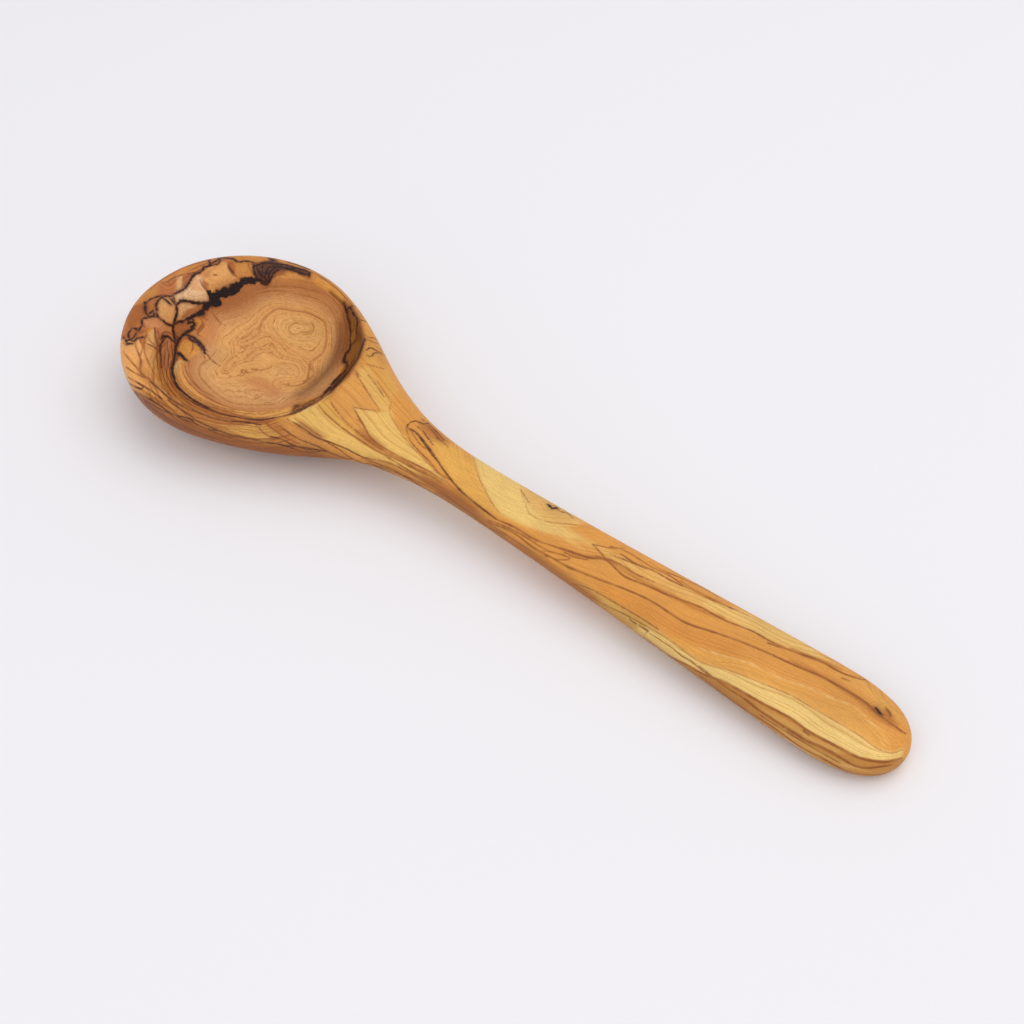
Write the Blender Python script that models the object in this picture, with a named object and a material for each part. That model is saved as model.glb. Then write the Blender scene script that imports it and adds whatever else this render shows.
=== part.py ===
"""A ladle carved from one piece of olive wood, modelled as it lies on a table.

+X runs along the ladle from the bowl to the end of the handle, +Z is up and Z = 0 is the
table. The blank is drawn with its sawn top face level, and then tipped until the foot under
the bowl and the end of the handle both stand on the table.
"""
import math

import bmesh
import bpy
from mathutils import Matrix, Vector
from mathutils.geometry import interpolate_bezier

MM = 0.001

# Overall length, and the two widths that give the ladle its outline from above
LENGTH = 320.0 * MM
BOWL_WIDTH = 87.5 * MM
HANDLE_WIDTH = 33.4 * MM
HANDLE_WIDEST_FROM_END = 27.0 * MM

# The neck, and how the outline runs from the bowl's round side into it
NECK_WIDTH = 18.0 * MM
NECK_FROM_BOWL_CENTRE = 103.0 * MM
SHOULDER_ANGLE = math.radians(74.0)
SHOULDER_PULL = 36.0 * MM
NECK_PULL = 43.0 * MM
GRIP_PULL = 39.0 * MM
GRIP_END_PULL = 21.0 * MM
TIP_SIDE_PULL = 20.0 * MM
TIP_NOSE_PULL = 8.0 * MM

# Heights of the blank, measured down from its top face
BOWL_HEIGHT = 27.0 * MM
NECK_THICKNESS = 13.5 * MM
HANDLE_THICKNESS = 12.0 * MM
BOWL_BACK_REACH = 65.0 * MM
UNDERSIDE_BLEND = 5.0 * MM
BOWL_SHOULDER_DEPTH = 7.5 * MM
TIP_ROUNDING = 11.0 * MM

# Where the bowl's section turns into the handle's, from the bowl's centre
HANDLE_SECTION_BEGINS = 17.5 * MM
HANDLE_SECTION_REACHED = 83.0 * MM

# How square each section is: 2 is an ellipse, more is flatter with rounder corners
BOWL_TOP_SQUARENESS = 4.0
BOWL_UNDERSIDE_SQUARENESS = 2.2
HANDLE_TOP_SQUARENESS = 3.3
HANDLE_UNDERSIDE_SQUARENESS = 2.5
RIM_NOSE_SQUARENESS = 5.0
KEEL_NOSE_SQUARENESS = 2.1

# The carved hollow: its rim and its floor, and where its lip ends on the rim
RIM_AT_SIDES = 4.4 * MM
RIM_AT_FRONT = 7.5 * MM
HOLLOW_PAST_BOWL = 1.8 * MM
FLOOR_THICKNESS = 8.5 * MM
LIP_RUN_OUT = 6.0 * MM

# Its wall and lip, crisp towards the handle and rounded away towards the front
WALL_ANGLE = math.radians(72.0)
WALL_PULL = 15.5 * MM
FLOOR_PULL = 32.0 * MM
LIP_RADIUS = 1.6 * MM
LIP_END_ANGLE = math.radians(14.0)
FRONT_WALL_ANGLE = math.radians(62.0)
FRONT_WALL_PULL = 10.0 * MM
FRONT_FLOOR_PULL = 23.0 * MM
FRONT_LIP_RADIUS = 9.0 * MM
FRONT_LIP_END_ANGLE = math.radians(6.0)
SOFT_LIP_BEGINS_AT = math.radians(80.0)
SOFT_LIP_FULL_AT = math.radians(30.0)

# Sanded flats that the ladle stands on
FOOT_DEPTH = 0.5 * MM

# Mesh fineness
STATIONS = 84
POINTS_AROUND = 48
HOLLOW_SEGMENTS = 64
CURVE_STEPS = 24
WALL_STEPS = 11
LIP_STEPS = 5
TILT_STEPS = 8
SHARP_ANGLE = math.radians(35.0)
LEAST = 0.1 * MM

BOWL_RADIUS = BOWL_WIDTH / 2
BOWL_CENTRE = BOWL_RADIUS
NECK_AT = BOWL_CENTRE + NECK_FROM_BOWL_CENTRE
HANDLE_WIDEST_AT = LENGTH - HANDLE_WIDEST_FROM_END
HOLLOW_RADIUS = BOWL_RADIUS - RIM_AT_SIDES
HOLLOW_DEPTH = BOWL_HEIGHT - FLOOR_THICKNESS
HOLLOW_LENGTH = BOWL_WIDTH + HOLLOW_PAST_BOWL - RIM_AT_FRONT
HOLLOW_MIDDLE = RIM_AT_FRONT + HOLLOW_LENGTH / 2
HOLLOW_STRETCH = HOLLOW_LENGTH / (2 * HOLLOW_RADIUS)


def clear_scene():
    for obj in list(bpy.data.objects):
        bpy.data.objects.remove(obj, do_unlink=True)


def ease(start, end, x):
    """0 before start, 1 after end, and a smooth step between."""
    t = min(max((x - start) / (end - start), 0.0), 1.0)
    return t * t * (3 - 2 * t)


def quarter(t, squareness):
    """Height of a unit superellipse quarter at distance t from its middle."""
    t = min(max(t, 0.0), 1.0)
    return (1 - t ** squareness) ** (1 / squareness)


def half_outline():
    """One side of the outline from above, as (x, half width) points from bowl to tip."""
    turn = math.pi - SHOULDER_ANGLE
    angles = [turn * i / CURVE_STEPS for i in range(CURVE_STEPS + 1)]
    points = [
        Vector((BOWL_CENTRE - BOWL_RADIUS * math.cos(a), BOWL_RADIUS * math.sin(a), 0))
        for a in angles
    ]
    shoulder = points[-1]
    leaving = Vector((math.sin(SHOULDER_ANGLE), -math.cos(SHOULDER_ANGLE), 0))
    along = Vector((1, 0, 0))
    across = Vector((0, 1, 0))
    neck = Vector((NECK_AT, NECK_WIDTH / 2, 0))
    grip = Vector((HANDLE_WIDEST_AT, HANDLE_WIDTH / 2, 0))
    tip = Vector((LENGTH, 0, 0))
    curves = (
        (shoulder, shoulder + leaving * SHOULDER_PULL, neck - along * NECK_PULL, neck),
        (neck, neck + along * GRIP_PULL, grip - along * GRIP_END_PULL, grip),
        (grip, grip + along * TIP_SIDE_PULL, tip + across * TIP_NOSE_PULL, tip),
    )
    for curve in curves:
        points += interpolate_bezier(*curve, CURVE_STEPS + 1)[1:]
    return [(p.x, p.y) for p in points]


OUTLINE = half_outline()


def half_width(x):
    """Half the ladle's width at x, read off the outline."""
    for (x0, w0), (x1, w1) in zip(OUTLINE, OUTLINE[1:]):
        if x <= x1:
            t = (x - x0) / (x1 - x0) if x1 > x0 else 1.0
            return w0 + (w1 - w0) * min(max(t, 0.0), 1.0)
    return 0.0


def blank_thickness(x):
    """Depth of the blank at x: the bowl's belly running into the thin handle."""
    past = min(max((x - BOWL_CENTRE) / BOWL_BACK_REACH, 0.0), 1.0)
    belly = BOWL_HEIGHT * quarter(past, 2.0)
    taper = ease(BOWL_CENTRE + BOWL_BACK_REACH, HANDLE_WIDEST_AT, x)
    stick = NECK_THICKNESS + (HANDLE_THICKNESS - NECK_THICKNESS) * taper
    if x < BOWL_CENTRE:
        return BOWL_HEIGHT
    lift = math.exp((belly - stick) / UNDERSIDE_BLEND)
    return stick + UNDERSIDE_BLEND * math.log(1 + lift)


def section(x):
    """Widest line's height, rise above it, drop below it and handle share at x."""
    handle = ease(HANDLE_SECTION_BEGINS, HANDLE_SECTION_REACHED, x - BOWL_CENTRE)
    depth = blank_thickness(x)
    rise = (1 - handle) * BOWL_SHOULDER_DEPTH + handle * depth / 2
    widest = -rise
    drop = depth - rise
    ahead = (BOWL_CENTRE - x) / BOWL_RADIUS
    rise *= quarter(ahead, RIM_NOSE_SQUARENESS)
    drop *= quarter(ahead, KEEL_NOSE_SQUARENESS)
    nearing = (x - (LENGTH - TIP_ROUNDING)) / TIP_ROUNDING
    end = quarter(nearing, 2.0)
    return widest, rise * end, drop * end, handle


def mix(a, b, share):
    return a + (b - a) * share


def top_height(x, y):
    """Height of the blank's top face over the point (x, y)."""
    widest, rise, _, handle = section(x)
    squareness = mix(BOWL_TOP_SQUARENESS, HANDLE_TOP_SQUARENESS, handle)
    width = max(half_width(x), LEAST)
    return widest + rise * quarter(abs(y) / width, squareness)


def blank_point(direction):
    """Where a point of a unit sphere, poled on X, lies on the blank."""
    x = LENGTH * (1 + direction.x) / 2
    widest, rise, drop, handle = section(x)
    turn = math.atan2(direction.z, direction.y)
    side, up = math.cos(turn), math.sin(turn)
    if up >= 0:
        squareness = mix(BOWL_TOP_SQUARENESS, HANDLE_TOP_SQUARENESS, handle)
        height = rise
    else:
        squareness = mix(BOWL_UNDERSIDE_SQUARENESS, HANDLE_UNDERSIDE_SQUARENESS, handle)
        height = drop
    reach = (abs(side) ** squareness + abs(up) ** squareness) ** (-1 / squareness)
    return Vector((x, half_width(x) * reach * side, widest + height * reach * up))


def resting_tilt(points):
    """Angle about Y at which the bowl's belly and the handle's end touch one plane."""
    middle = LENGTH / 2
    tilt = 0.0
    for _ in range(TILT_STEPS):
        turned = [Matrix.Rotation(tilt, 3, "Y") @ p for p in points]
        bowl = min((t for p, t in zip(points, turned) if p.x < middle), key=lambda t: t.z)
        end = min((t for p, t in zip(points, turned) if p.x >= middle), key=lambda t: t.z)
        tilt += math.atan2(end.z - bowl.z, end.x - bowl.x)
    return tilt


def make_blank():
    """The ladle before hollowing: a sphere poled on X, drawn out to its sections."""
    bm = bmesh.new()
    to_x = Matrix.Rotation(math.radians(90), 4, "Y")
    bmesh.ops.create_uvsphere(
        bm, u_segments=POINTS_AROUND, v_segments=STATIONS, radius=1.0, matrix=to_x
    )
    for vert in bm.verts:
        vert.co = blank_point(vert.co)
    return bm


def cut_feet(bm, tilt):
    """Sand the belly and the handle's end flat where they meet the table."""
    turn = Matrix.Rotation(tilt, 3, "Y")
    lowest = min((turn @ v.co).z for v in bm.verts)
    down = turn.transposed() @ Vector((0, 0, -1))
    on_plane = turn.transposed() @ Vector((0, 0, lowest + FOOT_DEPTH))
    cut = bmesh.ops.bisect_plane(
        bm, geom=bm.verts[:] + bm.edges[:] + bm.faces[:],
        plane_co=on_plane, plane_no=down, clear_outer=True,
    )
    rims = [e for e in cut["geom_cut"] if isinstance(e, bmesh.types.BMEdge)]
    bmesh.ops.holes_fill(bm, edges=rims, sides=0)
    bmesh.ops.recalc_face_normals(bm, faces=bm.faces[:])
    return lowest + FOOT_DEPTH


def hollow_profile(softness):
    """Half profile of the hollow, floor to lid, with its lip crisp at 0 and rounded at 1."""
    wall_angle = mix(WALL_ANGLE, FRONT_WALL_ANGLE, softness)
    lip_radius = mix(LIP_RADIUS, FRONT_LIP_RADIUS, softness)
    end_angle = mix(LIP_END_ANGLE, FRONT_LIP_END_ANGLE, softness)
    turn_in = lip_radius * math.sin(wall_angle)
    turn_down = lip_radius * (math.cos(end_angle) - math.cos(wall_angle))
    top_of_wall = Vector((HOLLOW_RADIUS - turn_in, -turn_down, 0))
    up_wall = Vector((math.cos(wall_angle), math.sin(wall_angle), 0))
    floor = Vector((0, -HOLLOW_DEPTH, 0))
    points = interpolate_bezier(
        floor,
        floor + Vector((mix(FLOOR_PULL, FRONT_FLOOR_PULL, softness), 0, 0)),
        top_of_wall - up_wall * mix(WALL_PULL, FRONT_WALL_PULL, softness),
        top_of_wall,
        WALL_STEPS + 1,
    )
    centre = top_of_wall + Vector((turn_in, -lip_radius * math.cos(wall_angle), 0))
    for i in range(1, LIP_STEPS + 1):
        angle = mix(wall_angle, end_angle, i / LIP_STEPS)
        points.append(centre + lip_radius * Vector((-math.sin(angle), math.cos(angle), 0)))
    run_out = Vector((math.cos(end_angle), math.sin(end_angle), 0))
    points.append(points[-1] + run_out * LIP_RUN_OUT)
    points.append(Vector((0, points[-1].y + LIP_RUN_OUT, 0)))
    return points


def hollow_point(direction):
    """Where a point of a unit sphere, poled on Z, lies on the hollow's cutter."""
    rings = WALL_STEPS + LIP_STEPS + 2
    latitude = math.asin(min(max(direction.z, -1.0), 1.0))
    ring = round(rings * (latitude / math.pi + 0.5))
    turn = math.atan2(direction.y, direction.x)
    ahead = -math.cos(turn)
    softness = ease(math.cos(SOFT_LIP_BEGINS_AT), math.cos(SOFT_LIP_FULL_AT), ahead)
    radius, height, _ = hollow_profile(softness)[ring]
    x, y = radius * math.cos(turn), radius * math.sin(turn)
    inside = min(1.0, HOLLOW_RADIUS / max(radius, LEAST))
    face = top_height(HOLLOW_MIDDLE + x * HOLLOW_STRETCH * inside, y * inside)
    lift = face * min(max(1 + height / HOLLOW_DEPTH, 0.0), 1.0)
    return Vector((HOLLOW_MIDDLE + x * HOLLOW_STRETCH, y, height + lift))


def make_hollow_cutter(parent):
    """The hollow's shape: a sphere poled on Z, drawn out to its wall, its lip and a lid."""
    bm = bmesh.new()
    bmesh.ops.create_uvsphere(
        bm, u_segments=HOLLOW_SEGMENTS, v_segments=WALL_STEPS + LIP_STEPS + 2, radius=1.0
    )
    for vert in bm.verts:
        vert.co = hollow_point(vert.co)
    mesh = bpy.data.meshes.new("hollow_cutter")
    bm.to_mesh(mesh)
    bm.free()
    cutter = bpy.data.objects.new("hollow_cutter", mesh)
    bpy.context.collection.objects.link(cutter)
    cutter.parent = parent
    cutter.hide_render = True
    cutter.display_type = "WIRE"
    return cutter


def olive_wood():
    """Oiled and sanded olive wood: warm golden brown with a low satin gloss."""
    material = bpy.data.materials.new("olive_wood")
    material.use_nodes = True
    shader = material.node_tree.nodes["Principled BSDF"]
    shader.inputs["Base Color"].default_value = (0.55, 0.27, 0.09, 1)
    shader.inputs["Roughness"].default_value = 0.45
    shader.inputs["Metallic"].default_value = 0.0
    material.diffuse_color = (0.55, 0.27, 0.09, 1)
    return material


def make_ladle():
    bm = make_blank()
    tilt = resting_tilt([v.co.copy() for v in bm.verts])
    table = cut_feet(bm, tilt)
    mesh = bpy.data.meshes.new("ladle")
    bm.to_mesh(mesh)
    bm.free()
    mesh.materials.append(olive_wood())
    mesh.shade_smooth()
    mesh.set_sharp_from_angle(angle=SHARP_ANGLE)

    ladle = bpy.data.objects.new("ladle", mesh)
    bpy.context.collection.objects.link(ladle)
    ladle.rotation_euler.y = tilt
    turn = Matrix.Rotation(tilt, 3, "Y")
    reach = [(turn @ v.co).x for v in mesh.vertices]
    ladle.location = (-(min(reach) + max(reach)) / 2, 0, -table)

    hollow = ladle.modifiers.new("hollow", "BOOLEAN")
    hollow.operation = "DIFFERENCE"
    hollow.solver = "EXACT"
    hollow.object = make_hollow_cutter(ladle)
    return ladle


def main():
    clear_scene()
    make_ladle()


main()
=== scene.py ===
import math

import bmesh
import bpy
import numpy as np
from mathutils import Matrix, Vector
from mathutils.bvhtree import BVHTree


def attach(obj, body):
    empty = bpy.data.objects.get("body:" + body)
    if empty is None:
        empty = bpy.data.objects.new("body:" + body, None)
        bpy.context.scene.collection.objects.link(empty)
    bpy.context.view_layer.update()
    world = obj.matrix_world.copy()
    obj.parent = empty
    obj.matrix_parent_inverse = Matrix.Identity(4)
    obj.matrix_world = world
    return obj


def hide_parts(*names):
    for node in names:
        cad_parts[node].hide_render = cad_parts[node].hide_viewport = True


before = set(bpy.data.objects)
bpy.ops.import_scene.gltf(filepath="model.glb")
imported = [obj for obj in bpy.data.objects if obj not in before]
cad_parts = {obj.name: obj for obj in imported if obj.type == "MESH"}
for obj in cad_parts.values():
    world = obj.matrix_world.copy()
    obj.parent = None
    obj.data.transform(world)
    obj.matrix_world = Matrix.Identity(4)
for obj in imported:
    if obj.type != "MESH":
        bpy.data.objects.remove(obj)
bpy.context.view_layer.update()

# Wooden ladle, olive wood, oiled: visual scene in the frame of the CAD model.
# Lengths are metres unless a name says mm. Pixels are those of the 1024 px photo.

MM = 0.001
PHOTO = 1024
PIXELS_PER_MM = 2.9

# Camera of the photo
CAMERA_ELEVATION = math.radians(47.32)
CAMERA_TURN = math.radians(38.44)
CAMERA_DISTANCE = 0.63614
FOCAL_PIXELS = 1845.9
AIM_ACROSS = 0.005823
AIM_AWAY = 0.007742
SENSOR_WIDTH_MM = 36.0

# Skin of the wood: its grid, and how near a stroke the grid is halved and quartered
SKIN_GRAIN = 1.0 * MM
MERGED_WITHIN = 0.001 * MM
SKIN_SMOOTHING = 10
SKIN_SMOOTHING_SHARE = 0.5
HALVED_WITHIN_MM = 0.6
QUARTERED_WITHIN_MM = 0.15

# What the photo shows: cosine between a point's normal and the eye, and how far behind other wood it may lie
FACING_FROM = -0.02
FACING_FULL = 0.12
HIDDEN_BEHIND = 1.5 * MM

# Strokes: pixels between their points, how far beyond them depth is told, and how their ends thin out
STROKE_STEP = 4
LINE_REACH_MM = 3.0
VEIN_REACH_MM = 4.0
TIP_POINTS = 4
TIP_SHARE = 0.5

# Top of the blank: the plane that slopes from the bowl's rim down to the handle's end
TOP_HEIGHT_MM = 28.4
TOP_SLOPE = 0.0572
TOP_ORIGIN_MM = -155.0

# Growth layers: pixels between their points, levels gained for each mm of height, and the unit of length
# and the stiffness of the thin plate that is bent through them
LAYER_STEP = 9
LAYER_RISE = 0.17
PLATE_UNIT_MM = 10
SAP_STIFFNESS = 0.05
HEART_STIFFNESS = 0.02

# Points worked out at once, and a number too small to matter that keeps a division or a logarithm from zero
AT_ONCE = 8000
LEAST = 1e-9

# The hollow: its middle, its reach, how squarely its wall faces in, and the hidden wall's depth in the heart
BOWL_CENTRE_MM = (-107.0, 0.0, 0.0)
HOLLOW_REACH_MM = 48.0
WALL_FACES_IN = 0.15
HIDDEN_WALL_HEART = 6

# Where the neck's figure gives way to the handle's
NECK_ENDS = -10 * MM
HANDLE_BEGINS = 30 * MM

# Pixels outside and inside the edge of the heartwood, of the rim's growth and of the burl that still count
HEART_KEPT = (-60, 20)
RIM_KEPT = (-10, 10)
BURL_KEPT = (-20, 20)

# Softness of the edges of the burl's cells and fields, and the tone under the fields of the figure
CELL_EDGE_MM = 0.3
FIELD_GROUND = "#dc9b50"

# Patches: how far they are worked out, as a multiple of their softness, and how strongly they stain
PATCH_REACH = 3
PATCH_STRENGTH = 0.75


def linear(code):
    """Linear colour of a #rrggbb code."""
    parts = [int(code[i:i + 2], 16) / 255 for i in (1, 3, 5)]
    return tuple(p / 12.92 if p <= 0.04045 else ((p + 0.055) / 1.055) ** 2.4 for p in parts) + (1.0,)


def add(tree, kind, inputs=None, stops=(), **settings):
    """Adds a shader node with its settings, input values or links, and ramp stops."""
    node = tree.nodes.new("ShaderNode" + kind)
    for name, value in settings.items():
        setattr(node, name, value)
    for index, (position, colour) in enumerate(stops):
        ramp = node.color_ramp.elements
        element = ramp[index] if index < 2 else ramp.new(position)
        element.position = position
        element.color = linear(colour)
    for socket, value in (inputs or {}).items():
        if isinstance(value, bpy.types.NodeSocket):
            tree.links.new(value, node.inputs[socket])
        else:
            node.inputs[socket].default_value = value
    return node


# Camera
right = Vector((math.cos(CAMERA_TURN), math.sin(CAMERA_TURN), 0))
away = Vector((-math.sin(CAMERA_TURN), math.cos(CAMERA_TURN), 0))
up = Vector((0, 0, 1))
forward = away * math.cos(CAMERA_ELEVATION) - up * math.sin(CAMERA_ELEVATION)
camera_up = away * math.sin(CAMERA_ELEVATION) + up * math.cos(CAMERA_ELEVATION)
eye = right * AIM_ACROSS + away * AIM_AWAY - forward * CAMERA_DISTANCE

camera = bpy.data.objects.new("photo_camera", bpy.data.cameras.new("photo_camera"))
camera.data.sensor_width = SENSOR_WIDTH_MM
camera.data.sensor_fit = "HORIZONTAL"
camera.data.lens = FOCAL_PIXELS / PHOTO * SENSOR_WIDTH_MM
camera.matrix_world = Matrix.Translation(eye) @ Matrix((right, camera_up, -forward)).transposed().to_4x4()
bpy.context.collection.objects.link(camera)
bpy.context.scene.camera = camera
bpy.context.scene.view_settings.view_transform = "Standard"

# Lines of the figure as the photo shows them. They bound fields, carry growth levels and are drawn as lines
TRACES = {
    "handle upper": [
        (411, 429), (417, 434), (424, 443), (431, 453), (439, 463), (446, 473), (460, 490), (480, 507),
        (496, 519), (516, 528), (536, 540), (572, 552), (590, 558), (606, 560), (624, 576), (648, 586),
        (670, 596), (700, 607), (724, 620), (752, 631), (768, 640), (792, 651), (816, 659), (840, 672),
        (856, 678), (866, 680),
    ],
    "handle middle": [
        (488, 522), (512, 532), (534, 548), (552, 558), (566, 566), (590, 576), (632, 592), (656, 604),
        (684, 622), (716, 633), (744, 643), (770, 654), (796, 666), (820, 676), (842, 688), (862, 700),
        (876, 712), (890, 723), (906, 734),
    ],
    "handle golden": [
        (700, 648), (724, 656), (752, 664), (780, 678), (810, 688), (832, 698), (856, 708), (870, 722),
        (886, 734),
    ],
    "yellow band top": [
        (646, 626), (669, 640), (683, 650), (703, 663), (731, 671), (764, 684), (792, 696), (816, 710),
        (840, 724), (860, 736), (876, 748), (892, 753), (903, 749),
    ],
    "yellow band foot": [
        (631, 630), (651, 643), (669, 656), (689, 666), (703, 674), (724, 682), (739, 690), (760, 702),
        (790, 718), (810, 732), (840, 748), (860, 758), (884, 762), (902, 758),
    ],
    "handle side upper": [
        (740, 696), (760, 711), (780, 724), (793, 732), (807, 741), (823, 748), (836, 755), (853, 765),
        (867, 768), (892, 765),
    ],
    "handle side lower": [
        (700, 676), (730, 699), (757, 717), (780, 732), (800, 747), (820, 757), (840, 768), (853, 773),
        (873, 775), (887, 773),
    ],
    "handle near start": [(572, 584), (586, 587), (607, 598), (629, 611), (646, 621), (658, 629)],
    "handle near second": [(576, 585), (590, 595), (603, 604), (624, 614), (646, 626)],
    "neck near lower": [
        (371, 459), (389, 463), (406, 471), (423, 481), (440, 493), (457, 504), (474, 516), (498, 532),
    ],
    "neck near upper": [
        (380, 453), (394, 461), (409, 471), (423, 480), (437, 489), (451, 500), (466, 511),
    ],
    "neck brown": [
        (318, 404), (326, 414), (334, 421), (344, 429), (354, 436), (366, 444), (377, 451), (389, 456),
        (400, 461), (411, 467), (421, 472), (431, 476), (441, 483),
    ],
    "neck orange edge": [
        (330, 399), (333, 406), (339, 414), (346, 422), (354, 429), (361, 435), (369, 441), (379, 448),
        (389, 454), (400, 459), (409, 464), (417, 469), (427, 473),
    ],
    "wedge left": [
        (353, 407), (357, 414), (361, 421), (366, 430), (371, 438), (379, 445), (392, 453), (410, 462),
        (428, 471), (445, 482),
    ],
    "wedge top": [(353, 407), (363, 409), (371, 410), (380, 412)],
    "wedge right": [
        (377, 380), (383, 390), (389, 399), (391, 404), (389, 411), (393, 420), (399, 429), (404, 437),
        (411, 446), (420, 455), (429, 464), (437, 473), (446, 481), (454, 489), (463, 496),
    ],
    "stripe left": [(356, 371), (359, 378), (365, 388), (373, 400), (380, 411)],
    "neck far": [(470, 452), (474, 460), (477, 470), (480, 480), (485, 490), (490, 500), (500, 514)],
    "neck curl": [(520, 488), (526, 506), (532, 516), (550, 522), (570, 524), (590, 528)],
    "flame upper": [(592, 544), (610, 548), (626, 548)],
    "flame lower": [(592, 544), (600, 552), (608, 562)],
    "lip dark": [
        (287, 419), (296, 424), (304, 429), (311, 434), (318, 438), (329, 442), (340, 446), (349, 450),
        (356, 454), (361, 456), (371, 459),
    ],
    "lip light": [(294, 418), (303, 424), (313, 431), (321, 437)],
    "lip second": [
        (280, 426), (289, 433), (299, 439), (309, 443), (317, 446), (327, 451), (337, 455), (346, 458),
        (351, 459),
    ],
    "bowl third": [
        (193, 417), (200, 418), (210, 421), (220, 423), (230, 424), (240, 424), (250, 423), (260, 422),
        (265, 422), (271, 428), (279, 433), (286, 438), (300, 444),
    ],
    "bowl second": [
        (135, 391), (145, 397), (158, 404), (170, 413), (183, 417), (190, 419), (198, 425), (208, 429),
        (220, 431), (230, 434), (240, 436), (251, 439), (264, 442), (276, 444), (289, 446), (300, 447),
        (323, 451), (349, 460),
    ],
    "bowl low": [
        (145, 406), (158, 416), (170, 423), (183, 428), (195, 433), (208, 438), (226, 443), (245, 446),
        (264, 449), (283, 451), (300, 452),
    ],
    "hollow edge": [
        (171, 378), (174, 384), (179, 390), (184, 396), (191, 401), (200, 406), (210, 411), (220, 414),
        (230, 416), (240, 418), (250, 420), (265, 420), (273, 418),
    ],
    "lip edge": [
        (290, 414), (300, 411), (310, 406), (318, 401), (323, 397), (336, 388), (348, 378), (357, 364),
        (363, 350), (365, 336), (361, 320), (352, 306),
    ],
    "eye ring": [
        (288, 330), (291, 325), (297, 323), (304, 325), (311, 323), (314, 328), (309, 333), (301, 332),
        (294, 335), (288, 330),
    ],
    "inner ring": [
        (240, 343), (247, 341), (258, 334), (262, 322), (267, 316), (277, 309), (283, 309), (295, 311),
        (305, 312), (315, 316), (324, 322), (326, 330), (326, 342), (324, 351), (317, 358), (310, 362),
        (309, 371), (307, 380), (302, 384), (292, 386), (282, 384),
    ],
    "second ring": [(331, 326), (332, 338), (331, 350)],
    "fold": [(274, 341), (260, 347), (247, 350), (235, 356), (229, 362), (226, 369)],
    "far ring": [
        (232, 305), (245, 301), (257, 294), (276, 291), (295, 294), (314, 298), (327, 305), (334, 314),
        (337, 326), (337, 339), (334, 353),
    ],
    "outer far ring": [
        (251, 291), (270, 287), (295, 287), (314, 291), (330, 297), (339, 307), (344, 320), (345, 334),
        (341, 350),
    ],
    "near ring": [
        (216, 351), (211, 358), (206, 361), (200, 366), (199, 373), (202, 379), (210, 388), (220, 396),
        (230, 402), (250, 405), (280, 404),
    ],
    "outer near ring": [
        (189, 361), (189, 370), (193, 380), (200, 389), (211, 399), (225, 406), (240, 410), (257, 412),
        (276, 411), (295, 405),
    ],
}

# Growth layers of the sapwood: level of each line. Between the lines the level runs smoothly
SAP_LEVELS = {
    "handle side lower": 1.0,
    "handle side upper": 2.0,
    "yellow band foot": 3.0,
    "yellow band top": 4.0,
    "handle golden": 4.6,
    "handle middle": 6.0,
    "handle upper": 7.0,
    "flame upper": 8.0,
    "neck near lower": 4.2,
    "neck brown": 5.0,
    "lip dark": 4.0,
    "bowl second": 3.0,
    "bowl low": 2.2,
    "hollow edge": 4.0,
}
FAR_RIM = (8.5, [(190, 262), (230, 254), (270, 254), (310, 270), (340, 296)])

# Growth layers of the heartwood, which the hollow cuts into rings round an eye
HEART_LEVELS = {
    "eye ring": -9.3,
    "inner ring": -8.0,
    "second ring": -7.4,
    "fold": -7.8,
    "far ring": -6.0,
    "outer far ring": -5.4,
    "near ring": -6.4,
    "outer near ring": -5.2,
}
EYE = (-10.0, [(297, 328), (303, 328)])
HOLLOW_FLOOR = [
    (-7.5, [(238, 368), (252, 366), (270, 362), (290, 362)]),
    (-7.2, [(228, 380), (245, 380), (265, 378), (296, 376)]),
    (-6.8, [(222, 390), (240, 394), (265, 394), (296, 392)]),
    (-7.2, [(214, 345), (222, 335), (234, 325)]),
    (-6.7, [(208, 352), (212, 335), (222, 318)]),
]

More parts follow.
